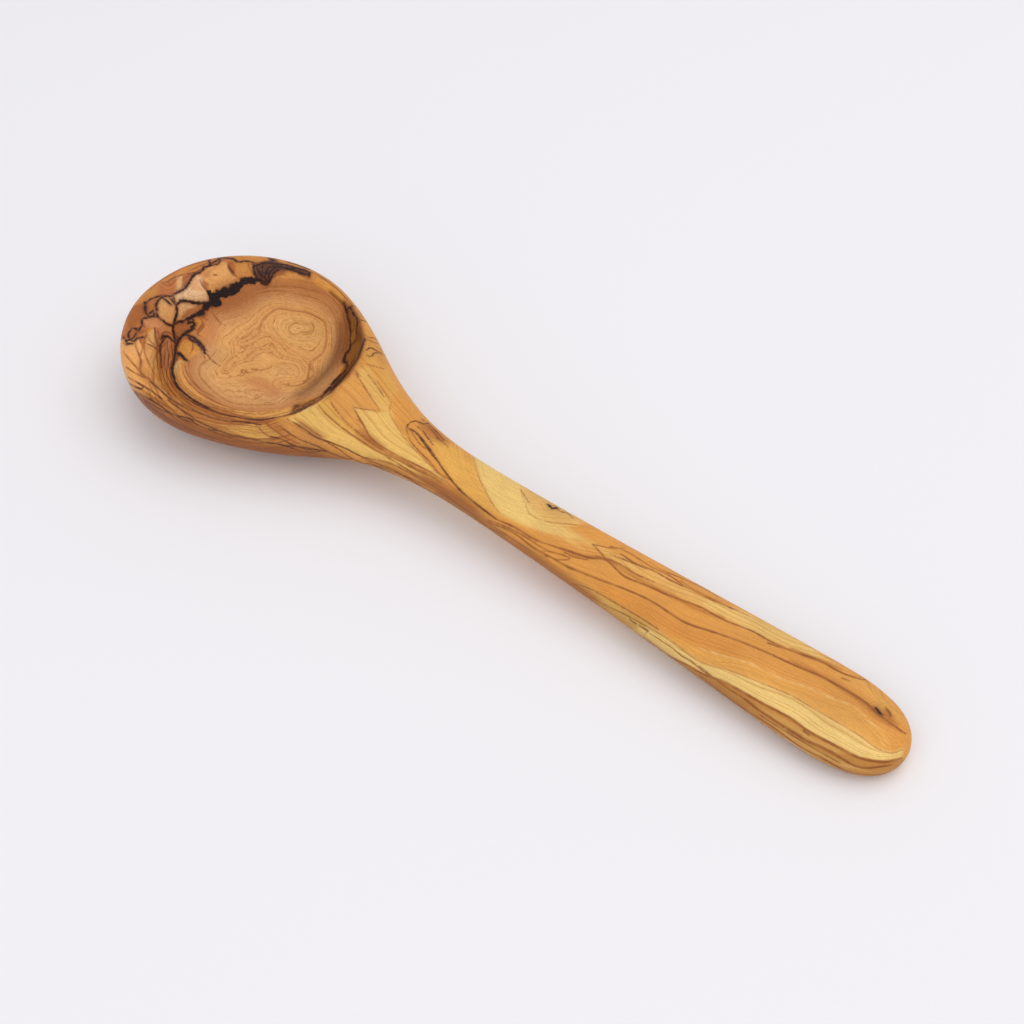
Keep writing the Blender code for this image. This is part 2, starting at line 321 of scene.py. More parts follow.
# Fields of the figure, and of painted shade on the near sides of the bowl, neck and handle and on the
# hollow's handle-side wall, from below: colour, softness of the edge in mm, and the edge, which is made of
# corners in the photo and of traced lines, with an r before one that runs backwards
FIELDS = [
    ("#c98b4b", 3.0, [
        (60, 330), (120, 352), (171, 378), "hollow edge", (290, 414), (330, 445), (372, 470), (280, 520),
        (100, 450),
    ]),
    ("#e2ab60", 0.5, [
        (174, 362), (184, 360), (181, 368), (181, 377), (184, 383), (190, 390), (200, 398), (212, 404),
        (225, 408), (245, 411), (262, 412), (282, 409), (300, 403), (302, 409), (285, 414), (265, 418),
        (245, 416), (225, 412), (205, 405), (190, 396), (179, 386), (173, 374),
    ]),
    # Painted shade: the bowl's near outer wall, darker where it turns down and away from the light
    ("#945829", 2.0, ["bowl second", (350, 500), (120, 470), (110, 392)]),
    ("#bf7c42", 0.5, ["hollow edge", "r bowl third", (180, 408), (166, 396)]),
    ("#dba75b", 0.8, [
        (222, 426), (240, 426), (262, 424), (277, 434), (264, 441), (245, 437), (230, 433),
    ]),
    ("#f0ae68", 2.0, [
        (110, 345), (136, 345), (146, 362), (152, 380), (162, 394), (140, 392), (112, 372),
    ]),
    ("#e3b768", 0.6, ["lip dark", (400, 468), "r neck brown", (310, 408), (297, 413)]),
    ("#dda958", 0.6, ["neck brown", "r neck orange edge"]),
    ("#dd9e55", 0.8, [
        "neck orange edge", (445, 484), "r wedge left", "wedge top", "r stripe left", (345, 382),
    ]),
    ("#e6bb6c", 0.5, [
        "wedge top", (391, 410), (393, 420), (404, 437), (420, 455), (437, 473), (446, 481),
        "r wedge left",
    ]),
    ("#e2b163", 0.7, ["stripe left", (390, 410), (391, 404), (383, 390), (376, 380), (368, 366)]),
    ("#dfa757", 1.2, [(384, 352), (398, 392), (391, 400), (378, 380), (366, 360), (372, 340)]),
    ("#e3ad5a", 1.2, [
        (428, 440), (440, 463), (460, 490), (480, 507), (500, 514), (485, 490), (476, 468), (462, 448),
        (446, 440),
    ]),
    ("#eac67a", 0.8, [
        "neck far", (520, 524), (545, 532), (575, 537), (556, 520), (540, 508), (522, 484), (500, 466),
        (482, 450),
    ]),
    ("#e8c074", 1.4, [
        (530, 524), (560, 536), (590, 552), (606, 558), (594, 545), (575, 533), (550, 524),
    ]),
    ("#e3b56c", 1.0, [(519, 484), (552, 500), (585, 522), (566, 528), (544, 520), (530, 506)]),
    # Painted shade: the neck's near side, darker brown where it turns away from the light
    ("#b87f40", 1.5, ["neck near lower", (560, 575), (470, 545), (380, 490), (300, 470)]),
    # More painted shade on the neck's near side
    ("#b3753a", 2.0, [
        (418, 474), (440, 484), (462, 498), (478, 510), (488, 521), (474, 515), (455, 502), (432, 487),
    ]),
    ("#db9c52", 1.0, [
        (572, 538), (598, 548), (652, 568), (700, 592), (716, 604), (700, 606), (672, 595), (640, 581),
        (606, 560), (590, 556),
    ]),
    ("#e6bd72", 0.9, [
        (684, 594), (705, 600), (745, 612), (800, 640), (836, 664), (812, 657), (768, 639), (740, 625),
        (706, 608),
    ]),
    ("#e3b066", 0.6, [
        (598, 545), (612, 552), (632, 562), (656, 572), (684, 586), (706, 600), (700, 606), (672, 593),
        (646, 580), (624, 568), (610, 558), (602, 552),
    ]),
    ("#dda65c", 0.6, [(606, 559), (640, 572), (676, 590), (700, 603), (672, 595), (640, 579)]),
    ("#d9944a", 2.5, [
        (600, 580), (640, 596), (690, 624), (740, 643), (740, 662), (690, 650), (650, 626), (600, 597),
    ]),
    ("#e1a659", 1.6, [
        (836, 668), (866, 682), (896, 704), (905, 722), (890, 716), (866, 696), (846, 682),
    ]),
    ("#e0a456", 0.8, ["handle golden", (892, 748), "r yellow band top"]),
    # Olive tan of the handle's near side, partly painted shade where it rounds away from the light
    ("#cfa55c", 1.0, ["handle near start", (669, 640), (683, 650), (700, 682), (640, 650), (560, 590)]),
    ("#ebc87d", 0.6, ["yellow band top", "r yellow band foot"]),
    # Painted shade: the handle's near side below the yellow band
    ("#bb8444", 0.7, ["yellow band foot", (925, 765), (880, 800), (700, 720), (600, 640), (612, 618)]),
    # Painted shade: the near lower side of the neck and handle
    ("#b2743a", 1.2, [
        (470, 520), (505, 536), (541, 556), (570, 578), (600, 600), (585, 606), (545, 580), (505, 553),
        (470, 534),
    ]),
    # Painted shade, darkest: the rounded edge along the near underside of the neck and handle
    ("#94602f", 2.0, [
        (440, 492), (471, 514), (530, 553), (585, 591), (630, 628), (675, 660), (744, 708), (744, 730),
        (675, 685), (630, 655), (585, 618), (530, 580), (471, 540), (430, 510),
    ]),
    ("#cf9f58", 0.5, [
        (755, 705), (790, 723), (815, 738), (845, 753), (836, 753), (807, 739), (780, 722),
    ]),
    ("#d2a35c", 0.5, [
        (765, 718), (800, 741), (836, 759), (868, 771), (845, 768), (815, 754), (785, 735),
    ]),
    ("#dca155", 0.8, [
        (800, 752), (840, 771), (873, 780), (905, 768), (915, 780), (870, 800), (790, 770),
    ]),
    ("#c98a42", 1.2, [
        (296, 258), (330, 275), (354, 298), (370, 324), (358, 318), (342, 297), (322, 282), (298, 271),
    ]),
    ("#d79a52", 2.0, [(352, 300), (372, 318), (392, 360), (384, 372), (368, 352), (362, 325)]),
    # The hollow's steep wall on the handle side: the wood's brown darkened by painted shade, as it faces away
    # from the light
    ("#6a3c18", 0.6, [
        "r lip edge", (330, 290), (348, 306), (352, 325), (352, 345), (346, 362), (338, 378), (323, 394),
        (300, 405),
    ]),
    ("#8f622c", 0.4, [
        (348, 311), (350, 307), (354, 315), (356, 320), (356, 330), (356, 337), (352, 344), (351, 335),
        (350, 325),
    ]),
    ("#875826", 0.6, [
        (351, 347), (356, 342), (361, 341), (360, 350), (355, 359), (349, 367), (347, 362), (346, 356),
    ]),
]

# Edge of the heartwood in the photo
HEART_OUTLINE = [
    (266, 283), (254, 279), (245, 283), (240, 288), (228, 294), (219, 301), (220, 305), (213, 307),
    (208, 313), (207, 321), (209, 330), (208, 338), (206, 346), (205, 350), (200, 352), (195, 355),
    (190, 359), (185, 363), (181, 367), (180, 371), (181, 377), (184, 383), (190, 390), (200, 398),
    (212, 404), (225, 408), (245, 411), (262, 412), (282, 409), (300, 403), (323, 394), (336, 376),
    (344, 360), (349, 344), (349, 325), (346, 308), (330, 293), (310, 280), (295, 273), (278, 276),
]

# Outline of the burl in the photo, beyond the ladle's edge where it runs out over the rim
BURL_OUTLINE = [
    (322, 262), (300, 240), (200, 235), (105, 290), (100, 352), (128, 348), (146, 366), (160, 374),
    (178, 372), (185, 352), (210, 348), (220, 300), (265, 290), (306, 284),
]

# Rim beside the hollow where fine dark growth crowds in lines along it
RIM_OUTLINE = [
    (156, 336), (178, 346), (175, 366), (180, 388), (205, 406), (245, 416), (275, 418), (288, 430),
    (296, 446), (345, 462), (372, 472), (300, 490), (200, 470), (140, 430), (110, 390), (146, 392),
    (150, 370),
]

# Cells of the burl: tones, and where each shows in the photo
BURL_TONES = {
    "pale": "#e2b181",
    "tan": "#d99e60",
    "amber": "#cf8b42",
    "russet": "#bd7442",
    "umber": "#a8683c",
    "soot": "#5a3220",
}
BURL_CELLS = {
    "pale": [(192, 290), (186, 297), (199, 297), (198, 282), (188, 305), (180, 284), (190, 308)],
    "tan": [
        (214, 284), (226, 281), (222, 270), (210, 273), (232, 286), (166, 305), (172, 313), (178, 300),
        (202, 289), (163, 312), (194, 311),
    ],
    "amber": [
        (150, 291), (140, 300), (162, 281), (130, 316), (137, 309), (190, 344), (197, 350), (203, 326),
        (201, 336), (207, 343), (151, 334), (148, 356), (145, 346), (153, 366), (240, 258), (262, 257),
        (284, 263), (238, 266), (250, 268), (290, 266), (292, 276), (184, 362), (195, 321), (128, 344),
        (310, 272),
    ],
    "russet": [
        (168, 285), (160, 291), (172, 277), (186, 279), (190, 271), (204, 265), (154, 306), (150, 313),
        (140, 330), (132, 333), (138, 343), (158, 326), (165, 321), (181, 326), (181, 333), (244, 274),
        (232, 262), (130, 329), (126, 336), (146, 321), (256, 272), (262, 270), (306, 273),
    ],
    "umber": [
        (204, 284), (212, 261), (144, 307), (143, 315), (165, 330), (168, 336), (200, 311), (204, 307),
        (168, 352), (163, 345), (170, 362), (196, 270), (174, 284), (262, 276), (280, 270), (272, 274),
        (188, 335),
    ],
    "soot": [(175, 340), (176, 347), (268, 267), (275, 264), (174, 353), (173, 362)],
}

# Crisp fields of the burl, from below: colour and edge in the photo
BURL_FIELDS = [
    ("#c98443", [
        (150, 286), (170, 272), (200, 258), (222, 255), (218, 262), (204, 267), (194, 272), (176, 276),
        (160, 284),
    ]),
    ("#f2b272", [(116, 340), (138, 338), (144, 352), (146, 368), (140, 380), (124, 372)]),
    ("#d79b5c", [(146, 340), (156, 345), (158, 360), (160, 374), (154, 380), (149, 366), (144, 352)]),
    ("#a96a3b", [(132, 378), (144, 374), (158, 378), (166, 392), (158, 400), (142, 392)]),
    ("#c4835a", [
        (156, 332), (162, 328), (172, 332), (176, 341), (178, 350), (174, 359), (172, 368), (174, 377),
        (178, 386), (182, 395), (164, 395), (161, 382), (162, 368), (160, 359), (161, 350), (158, 341),
    ]),
    ("#cd8a58", [
        (143, 319), (154, 316), (159, 319), (169, 325), (173, 327), (173, 334), (169, 332), (162, 329),
        (156, 328), (145, 327), (140, 329),
    ]),
    ("#ab6531", [(124, 318), (134, 304), (144, 304), (144, 314), (140, 318), (136, 326), (128, 328)]),
    ("#bf7637", [(148, 304), (155, 304), (154, 309), (150, 314), (147, 314)]),
    ("#c98745", [(130, 306), (145, 290), (158, 283), (157, 296), (148, 301), (141, 304)]),
    ("#7c4726", [(144, 302), (148, 301), (147, 313), (144, 314)]),
    ("#bd7545", [(158, 285), (169, 280), (176, 276), (177, 288), (173, 294), (164, 295), (157, 297)]),
    ("#dca873", [(177, 277), (183, 276), (183, 284), (182, 289), (177, 288), (176, 282)]),
    ("#ad6c42", [(184, 276), (194, 272), (197, 273), (191, 279), (186, 286), (182, 290), (183, 284)]),
    ("#e9c193", [
        (176, 294), (181, 291), (185, 289), (191, 282), (197, 274), (200, 279), (203, 286), (206, 290),
        (210, 295), (212, 298), (209, 301), (203, 302), (195, 302), (189, 301), (182, 300), (177, 304),
        (176, 299),
    ]),
    ("#dba676", [(188, 287), (193, 279), (198, 277), (200, 284), (204, 292), (194, 290)]),
    ("#e0a363", [
        (209, 267), (221, 261), (227, 262), (228, 267), (232, 273), (236, 277), (240, 281), (235, 285),
        (230, 287), (224, 289), (219, 292), (213, 294), (210, 292), (207, 286), (205, 282), (202, 277),
        (200, 275), (204, 270),
    ]),
    ("#cf8f57", [(200, 274), (211, 270), (212, 277), (204, 278)]),
    ("#a8683f", [(203, 281), (209, 283), (208, 288), (210, 293), (205, 289)]),
    ("#c98845", [
        (228, 262), (236, 260), (248, 262), (254, 266), (254, 272), (256, 276), (249, 278), (241, 280),
        (236, 276), (232, 272), (228, 267),
    ]),
    ("#a4612f", [(228, 262), (233, 261), (235, 268), (236, 276), (232, 272), (228, 267)]),
    ("#3a1e10", [
        (255, 266), (262, 262), (272, 263), (284, 266), (298, 269), (309, 272), (309, 277), (300, 274),
        (288, 270), (278, 270), (272, 275), (268, 281), (262, 281), (257, 276),
    ]),
    ("#dba064", [
        (159, 300), (166, 300), (170, 305), (176, 306), (177, 312), (174, 318), (172, 324), (167, 322),
        (162, 319), (158, 315), (157, 308),
    ]),
    ("#e3b17c", [
        (181, 303), (187, 302), (194, 304), (202, 304), (201, 308), (197, 313), (191, 315), (185, 318),
        (180, 322), (178, 317), (178, 312), (180, 306),
    ]),
    ("#b27546", [
        (187, 310), (196, 306), (202, 305), (201, 309), (197, 313), (191, 315), (185, 318), (181, 320),
        (182, 314),
    ]),
    ("#a9693c", [
        (176, 324), (182, 322), (187, 321), (189, 326), (185, 331), (182, 335), (180, 338), (176, 334),
    ]),
    ("#d9a566", [(152, 330), (155, 329), (154, 337), (157, 345), (153, 345), (148, 343), (146, 337)]),
    ("#cf8f50", [(188, 334), (200, 325), (204, 318), (212, 316), (212, 345), (204, 346), (200, 340)]),
    ("#d39349", [
        (180, 342), (193, 342), (200, 347), (205, 352), (195, 358), (187, 361), (182, 354), (177, 352),
        (179, 346),
    ]),
    ("#ecc88b", [(175, 362), (184, 360), (182, 366), (179, 371), (181, 379), (176, 377), (173, 369)]),
]

# Bark shut in the burl, black and ragged: width in mm and line in the photo
BARK = [
    (3.2, [(210, 293), (214, 297), (217, 301), (212, 304)]),
    (3.4, [(213, 299), (218, 296), (223, 293), (229, 292), (235, 288), (240, 284), (244, 282)]),
    (2.4, [(241, 283), (246, 281), (251, 280), (258, 280)]),
    (1.7, [(218, 303), (212, 304), (207, 306), (203, 309), (202, 312)]),
    (0.6, [(204, 309), (201, 313), (196, 315), (190, 318)]),
    (1.2, [(256, 279), (262, 281), (266, 284), (269, 281)]),
]

# Thin dark veins that run out from the bark: width in mm and line in the photo
BLACK_VEINS = [
    (0.6, [(145, 302), (145, 307), (146, 312)]),
    (0.5, [(150, 314), (153, 311), (154, 315)]),
    (0.6, [(219, 294), (217, 291)]),
    (0.6, [(226, 292), (225, 288)]),
    (0.7, [(232, 289), (231, 285)]),
    (0.6, [(238, 286), (236, 282)]),
    (0.5, [(243, 282), (242, 279)]),
    (1.1, [(250, 280), (257, 279), (262, 281), (266, 284), (269, 281)]),
    (1.1, [
        (219, 305), (213, 305), (207, 306), (204, 308), (203, 314), (198, 314), (193, 316), (187, 319),
    ]),
    (0.6, [(187, 319), (184, 321), (178, 322), (175, 324)]),
    (0.6, [
        (220, 258), (219, 263), (214, 265), (209, 266), (204, 267), (203, 270), (198, 273), (194, 275),
        (191, 279), (188, 284), (185, 288), (182, 290), (178, 292), (174, 294), (172, 296),
    ]),
    (0.5, [(172, 296), (166, 296), (160, 296), (154, 298), (149, 300), (146, 303)]),
    (0.6, [(162, 297), (158, 301), (156, 306), (157, 312), (158, 317)]),
    (0.5, [(163, 298), (167, 301), (170, 304), (172, 305)]),
    (0.4, [(167, 296), (171, 299), (174, 303), (175, 305)]),
    (0.4, [(172, 296), (174, 299), (176, 304)]),
    (0.9, [(176, 304), (177, 312), (176, 317), (174, 323), (173, 328), (174, 335), (175, 343)]),
    (0.8, [(176, 306), (180, 301), (187, 301), (195, 303), (202, 303), (209, 304), (217, 304)]),
    (0.6, [(158, 317), (163, 321), (169, 325), (173, 326)]),
    (0.4, [
        (158, 317), (152, 317), (148, 318), (142, 319), (142, 323), (141, 327), (138, 331), (135, 328),
        (132, 328), (130, 331), (128, 334), (129, 337), (132, 339), (135, 335), (136, 331),
    ]),
    (0.5, [(126, 341), (130, 340), (134, 341), (138, 338), (144, 337)]),
    (0.4, [(123, 337), (126, 340), (128, 344), (132, 344)]),
    (0.5, [(145, 303), (145, 308), (146, 313), (149, 316), (154, 316)]),
    (0.6, [(232, 258), (238, 262), (244, 261), (252, 262), (258, 264)]),
    (0.5, [(209, 260), (210, 264)]),
    (0.8, [
        (189, 319), (188, 323), (192, 322), (195, 325), (191, 327), (194, 328), (189, 331), (185, 333),
        (181, 337), (178, 341), (176, 347), (175, 354), (174, 362), (172, 370), (174, 378), (177, 386),
        (182, 391), (189, 397), (198, 403), (208, 408),
    ]),
    (0.9, [(196, 339), (200, 343), (203, 347), (205, 353)]),
    (0.8, [(194, 339), (199, 345), (204, 351)]),
    (0.5, [(166, 337), (162, 342), (160, 350), (161, 358), (161, 367)]),
    (0.5, [(188, 337), (193, 341), (199, 345)]),
    (0.5, [(192, 317), (194, 322), (196, 325)]),
    (0.6, [(184, 334), (190, 336), (196, 339), (200, 343), (203, 348)]),
    (1.4, [(178, 353), (181, 355), (184, 358), (186, 360)]),
    (0.6, [(161, 339), (164, 336), (169, 337), (172, 340), (175, 343)]),
    (0.6, [(207, 267), (214, 262), (219, 259), (218, 256)]),
    (0.7, [(219, 258), (227, 258), (233, 259), (238, 262)]),
    (0.9, [(254, 264), (254, 269), (255, 274), (258, 278), (261, 281), (264, 284), (268, 282)]),
    (0.8, [(268, 282), (265, 278), (266, 272), (269, 266)]),
    (1.0, [
        (255, 266), (262, 263), (269, 263), (278, 264), (286, 265), (296, 268), (303, 270), (309, 272),
        (309, 277),
    ]),
    (0.7, [(268, 268), (275, 266), (283, 267), (292, 269), (301, 273), (308, 275)]),
    (0.7, [(283, 267), (275, 268), (271, 271), (269, 275), (268, 279), (265, 282)]),
    (0.6, [(282, 268), (276, 271), (273, 274), (272, 277), (269, 280)]),
    (0.6, [(266, 256), (269, 258), (273, 260), (272, 263)]),
    (0.5, [(271, 279), (273, 274), (278, 270), (283, 268), (289, 269), (298, 271), (305, 274)]),
    (0.5, [(265, 255), (269, 258), (273, 261)]),
    (0.6, [(288, 262), (298, 265), (309, 269)]),
    (0.7, [
        (344, 303), (345, 307), (347, 312), (348, 318), (350, 323), (350, 328), (351, 332), (350, 339),
        (351, 345), (349, 350), (346, 353), (345, 357), (344, 360), (347, 363), (347, 368), (344, 372),
        (340, 376), (337, 380), (334, 382), (331, 386), (327, 390), (324, 394), (322, 397),
    ]),
    (1.3, [(350, 345), (350, 349), (347, 353)]),
    (1.2, [(345, 356), (344, 360), (347, 363)]),
    (1.7, [(342, 374), (338, 378), (335, 381), (332, 384)]),
    (1.1, [(330, 387), (327, 391), (324, 394)]),
    (0.5, [
        (350, 306), (352, 310), (354, 315), (357, 319), (357, 326), (356, 330), (357, 337), (355, 341),
        (351, 345),
    ]),
    (0.6, [(351, 306), (348, 309), (346, 312)]),
    (0.7, [
        (365, 339), (362, 346), (360, 352), (358, 358), (354, 363), (350, 369), (346, 375), (342, 380),
        (338, 385), (333, 390), (328, 394),
    ]),
    (0.4, [(355, 357), (352, 362), (348, 368), (345, 373), (341, 379), (336, 385)]),
    (0.9, [(338, 384), (334, 388), (330, 392)]),
    (1.3, [(357, 360), (353, 366), (348, 372), (342, 378), (337, 383), (330, 390)]),
    (0.7, [(256, 266), (258, 271), (262, 276), (267, 280)]),
    (0.5, [(263, 264), (262, 270), (266, 276)]),
    (0.6, [(876, 708), (879, 712), (882, 715)]),
    (0.6, [(549, 505), (552, 508), (557, 508)]),
]

# Lines drawn on the wood: width in mm and a traced line or its own one in the photo
DARK_LINES = [
    (0.9, [(228, 265), (230, 269), (234, 273)]),
    (0.7, [(214, 275), (216, 275)]),
    (0.6, [(155, 328), (155, 334), (157, 340), (160, 344)]),
    (0.6, TRACES["handle upper"][:9]),
    (0.45, "lip dark"),
    (0.45, "bowl second"),
    (0.45, "lip second"),
    (0.55, [(411, 429), (417, 433), (424, 441), (432, 452), (440, 464)]),
    (0.45, [(418, 427), (423, 431), (428, 438), (433, 445)]),
    (0.5, [(161, 366), (163, 375), (166, 383), (170, 389), (176, 396)]),
    (0.5, [
        (168, 341), (167, 347), (169, 354), (168, 361), (169, 368), (171, 376), (174, 383), (179, 390),
    ]),
    (0.45, [(171, 342), (172, 350), (173, 358), (171, 366), (172, 375), (176, 383), (181, 389)]),
    (0.4, [(165, 346), (165, 354), (164, 362), (166, 371), (169, 380), (173, 388)]),
    (0.45, [(157, 350), (157, 360), (158, 370), (161, 380), (165, 389), (172, 398)]),
    (0.55, [(129, 383), (135, 387), (142, 389), (144, 386), (147, 389)]),
    (0.5, [(181, 394), (190, 401), (202, 407), (216, 412)]),
    (0.6, [
        (208, 408), (219, 413), (231, 416), (244, 418), (259, 420), (273, 418), (284, 416), (297, 412),
        (307, 407), (316, 402), (323, 398),
    ]),
    (0.45, [(168, 400), (180, 409), (193, 417)]),
    (0.45, [(182, 403), (193, 410), (210, 417), (228, 421), (245, 422), (261, 425)]),
    (0.45, [(193, 419), (208, 426), (222, 432), (236, 437), (261, 440)]),
    (0.45, [(137, 393), (150, 406), (166, 417), (182, 426), (199, 433), (216, 439), (233, 445)]),
    (0.35, [(312, 272), (324, 279), (336, 288), (346, 298), (353, 306)]),
    (0.4, [(131, 388), (144, 402), (160, 415), (178, 426), (196, 434), (215, 441)]),
    (0.4, [(150, 398), (163, 408), (178, 417), (195, 424), (212, 431), (228, 437), (245, 442)]),
    (0.4, [(422, 419), (430, 425), (437, 432), (444, 440)]),
    (0.4, [(160, 282), (167, 282), (173, 278), (185, 274), (196, 272), (210, 264)]),
    (0.4, [(270, 436), (281, 439), (293, 445), (305, 449), (320, 452)]),
    (0.4, [(270, 443), (285, 446), (301, 451), (316, 453)]),
    (0.4, [(361, 456), (378, 464), (393, 470), (408, 478), (424, 488), (440, 497)]),
    (0.4, [(328, 443), (340, 450), (351, 458), (370, 466), (385, 472)]),
    (0.4, [(353, 318), (354, 322), (354, 328), (352, 332)]),
    (0.4, [(357, 320), (361, 320), (367, 322)]),
    (0.4, [(353, 306), (359, 308), (365, 315)]),
    (0.45, [(368, 340), (373, 342), (379, 344)]),
    (0.6, [(366, 350), (369, 348), (372, 348), (377, 351), (382, 353)]),
    (0.5, [(367, 355), (370, 357), (372, 356), (374, 353), (378, 353), (383, 355)]),
    (0.4, [(384, 354), (387, 358), (389, 362)]),
    (0.4, [(556, 508), (562, 512), (567, 513), (573, 518)]),
    (0.6, [(156, 332), (155, 337), (157, 344), (161, 350)]),
    (0.5, [(148, 344), (152, 346), (157, 349)]),
    (0.5, [(128, 377), (138, 383), (150, 390), (162, 399)]),
    (0.5, [(135, 392), (145, 400), (158, 408), (172, 415)]),
    (0.5, [(150, 381), (158, 388), (168, 397), (180, 405), (193, 411)]),
    (0.45, [(407, 427), (409, 423), (416, 421), (423, 424), (429, 423)]),
    (0.7, [(630, 620), (633, 622), (636, 624)]),
    (0.4, [(322, 397), (314, 402), (306, 406), (296, 411)]),
    (0.4, [(366, 337), (373, 338), (379, 341)]),
]
